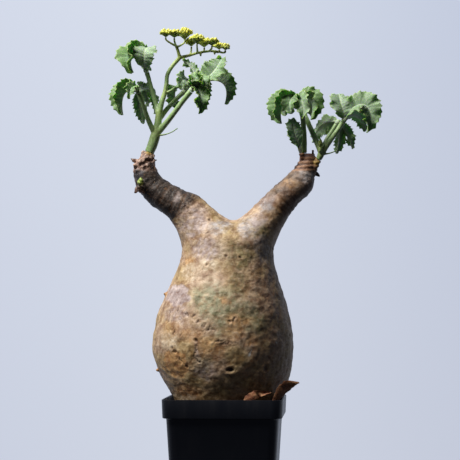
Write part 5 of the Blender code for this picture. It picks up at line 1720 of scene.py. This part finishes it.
def add_floor():
    circle = [Vector((math.cos(turn), math.sin(turn), 0)) * FLOOR_RADIUS
              for turn in (step * math.tau / 96 for step in range(96))]
    disc = bpy.data.meshes.new("floor")
    disc.from_pydata(circle, [], [tuple(range(96))])
    disc.materials.append(floor_material())
    floor = linked(bpy.data.objects.new("floor", disc))
    floor.visible_diffuse = False
    floor.visible_glossy = False


def add_lamp(name, place, aim, size, power, colour):
    lamp = bpy.data.lights.new(name, "AREA")
    lamp.shape = "RECTANGLE"
    lamp.size, lamp.size_y = size
    lamp.energy = power
    lamp.color = colour
    thing = linked(bpy.data.objects.new(name, lamp))
    thing.location = place
    thing.rotation_euler = (Vector(aim) - Vector(place)).to_track_quat("-Z", "Y").to_euler()


def add_light():
    """A softbox from the upper left, and a pale backdrop that also lights the plant a little from behind."""
    add_lamp("softbox", (-0.63, -0.48, 1.36), (0.0, 0.0, 0.22), (0.55, 0.55), 36.0, (1.0, 0.97, 0.94))
    world = bpy.data.worlds.new("studio")
    world.use_nodes = True
    bpy.context.scene.world = world
    tree = world.node_tree
    tree.nodes.clear()
    way = tree.nodes.new("ShaderNodeTexCoord").outputs["Generated"]
    split = add_node(tree, "ShaderNodeSeparateXYZ", {0: way})
    side = threshold(tree, split.outputs[0], -0.194, 0.065)
    rise = threshold(tree, split.outputs[2], -0.09, 0.17)
    top = ramp(tree, side, (0.0, (0.655, 0.702, 0.820)), (0.4, (0.678, 0.728, 0.838)), (1.0, (0.556, 0.606, 0.736)))
    foot = ramp(tree, side, (0.0, (0.590, 0.632, 0.744)), (0.4, (0.625, 0.665, 0.768)), (1.0, (0.555, 0.594, 0.704)))
    backdrop = mixed(tree, rise, foot, top)
    behind = threshold(tree, split.outputs[1], 0.0, 0.95)
    glow = mixed(tree, behind, (0.021, 0.022, 0.025), (0.34, 0.38, 0.46))
    mirrored = threshold(tree, split.outputs[1], 0.0, 0.55)
    sheen = mixed(tree, mirrored, (0.075, 0.083, 0.115), (0.50, 0.55, 0.66))
    seen = add_node(tree, "ShaderNodeBackground", {"Color": backdrop, "Strength": 1.0}).outputs[0]
    felt = add_node(tree, "ShaderNodeBackground", {"Color": glow, "Strength": 1.0}).outputs[0]
    shine = add_node(tree, "ShaderNodeBackground", {"Color": sheen, "Strength": 1.0}).outputs[0]
    rays = tree.nodes.new("ShaderNodeLightPath").outputs
    lit = add_node(tree, "ShaderNodeMixShader", {0: rays["Is Glossy Ray"], 1: felt, 2: shine}).outputs[0]
    both = add_node(tree, "ShaderNodeMixShader", {0: rays["Is Camera Ray"], 1: lit, 2: seen}).outputs[0]
    add_node(tree, "ShaderNodeOutputWorld", {"Surface": both})
    view = bpy.context.scene.view_settings
    view.view_transform = "Standard"
    view.look = "None"


add_camera()
add_light()
add_floor()
TREES = {"stalk": stalk_tree(), "head": head_tree(), "grain": grain_tree()}
stem_green = stem_material()
leaf_green = leaf_material()
add_pot(pot_material())
add_soil(soil_material())
add_caudex(TREES["stalk"], bark_material())
add_left_stem(TREES["stalk"], stem_green)
add_right_stem(TREES["stalk"], stem_green)
add_single_stalk(TREES["stalk"], stem_green)
for leaf_name in LEAVES:
    add_leaf(leaf_name, leaf_green)
flower_yellow = flower_material()
for head_name in HEADS:
    add_head(head_name, flower_yellow, stem_green)
tender = bud_material()
add_bud("left_bud", LEFT_BUD, LEFT_BUD_RADIUS, tender)
add_bud("right_bud", RIGHT_BUD, RIGHT_BUD_RADIUS, tender)
papery = papery_material()
for scrap_name in SCRAPS:
    add_scrap(scrap_name, papery)
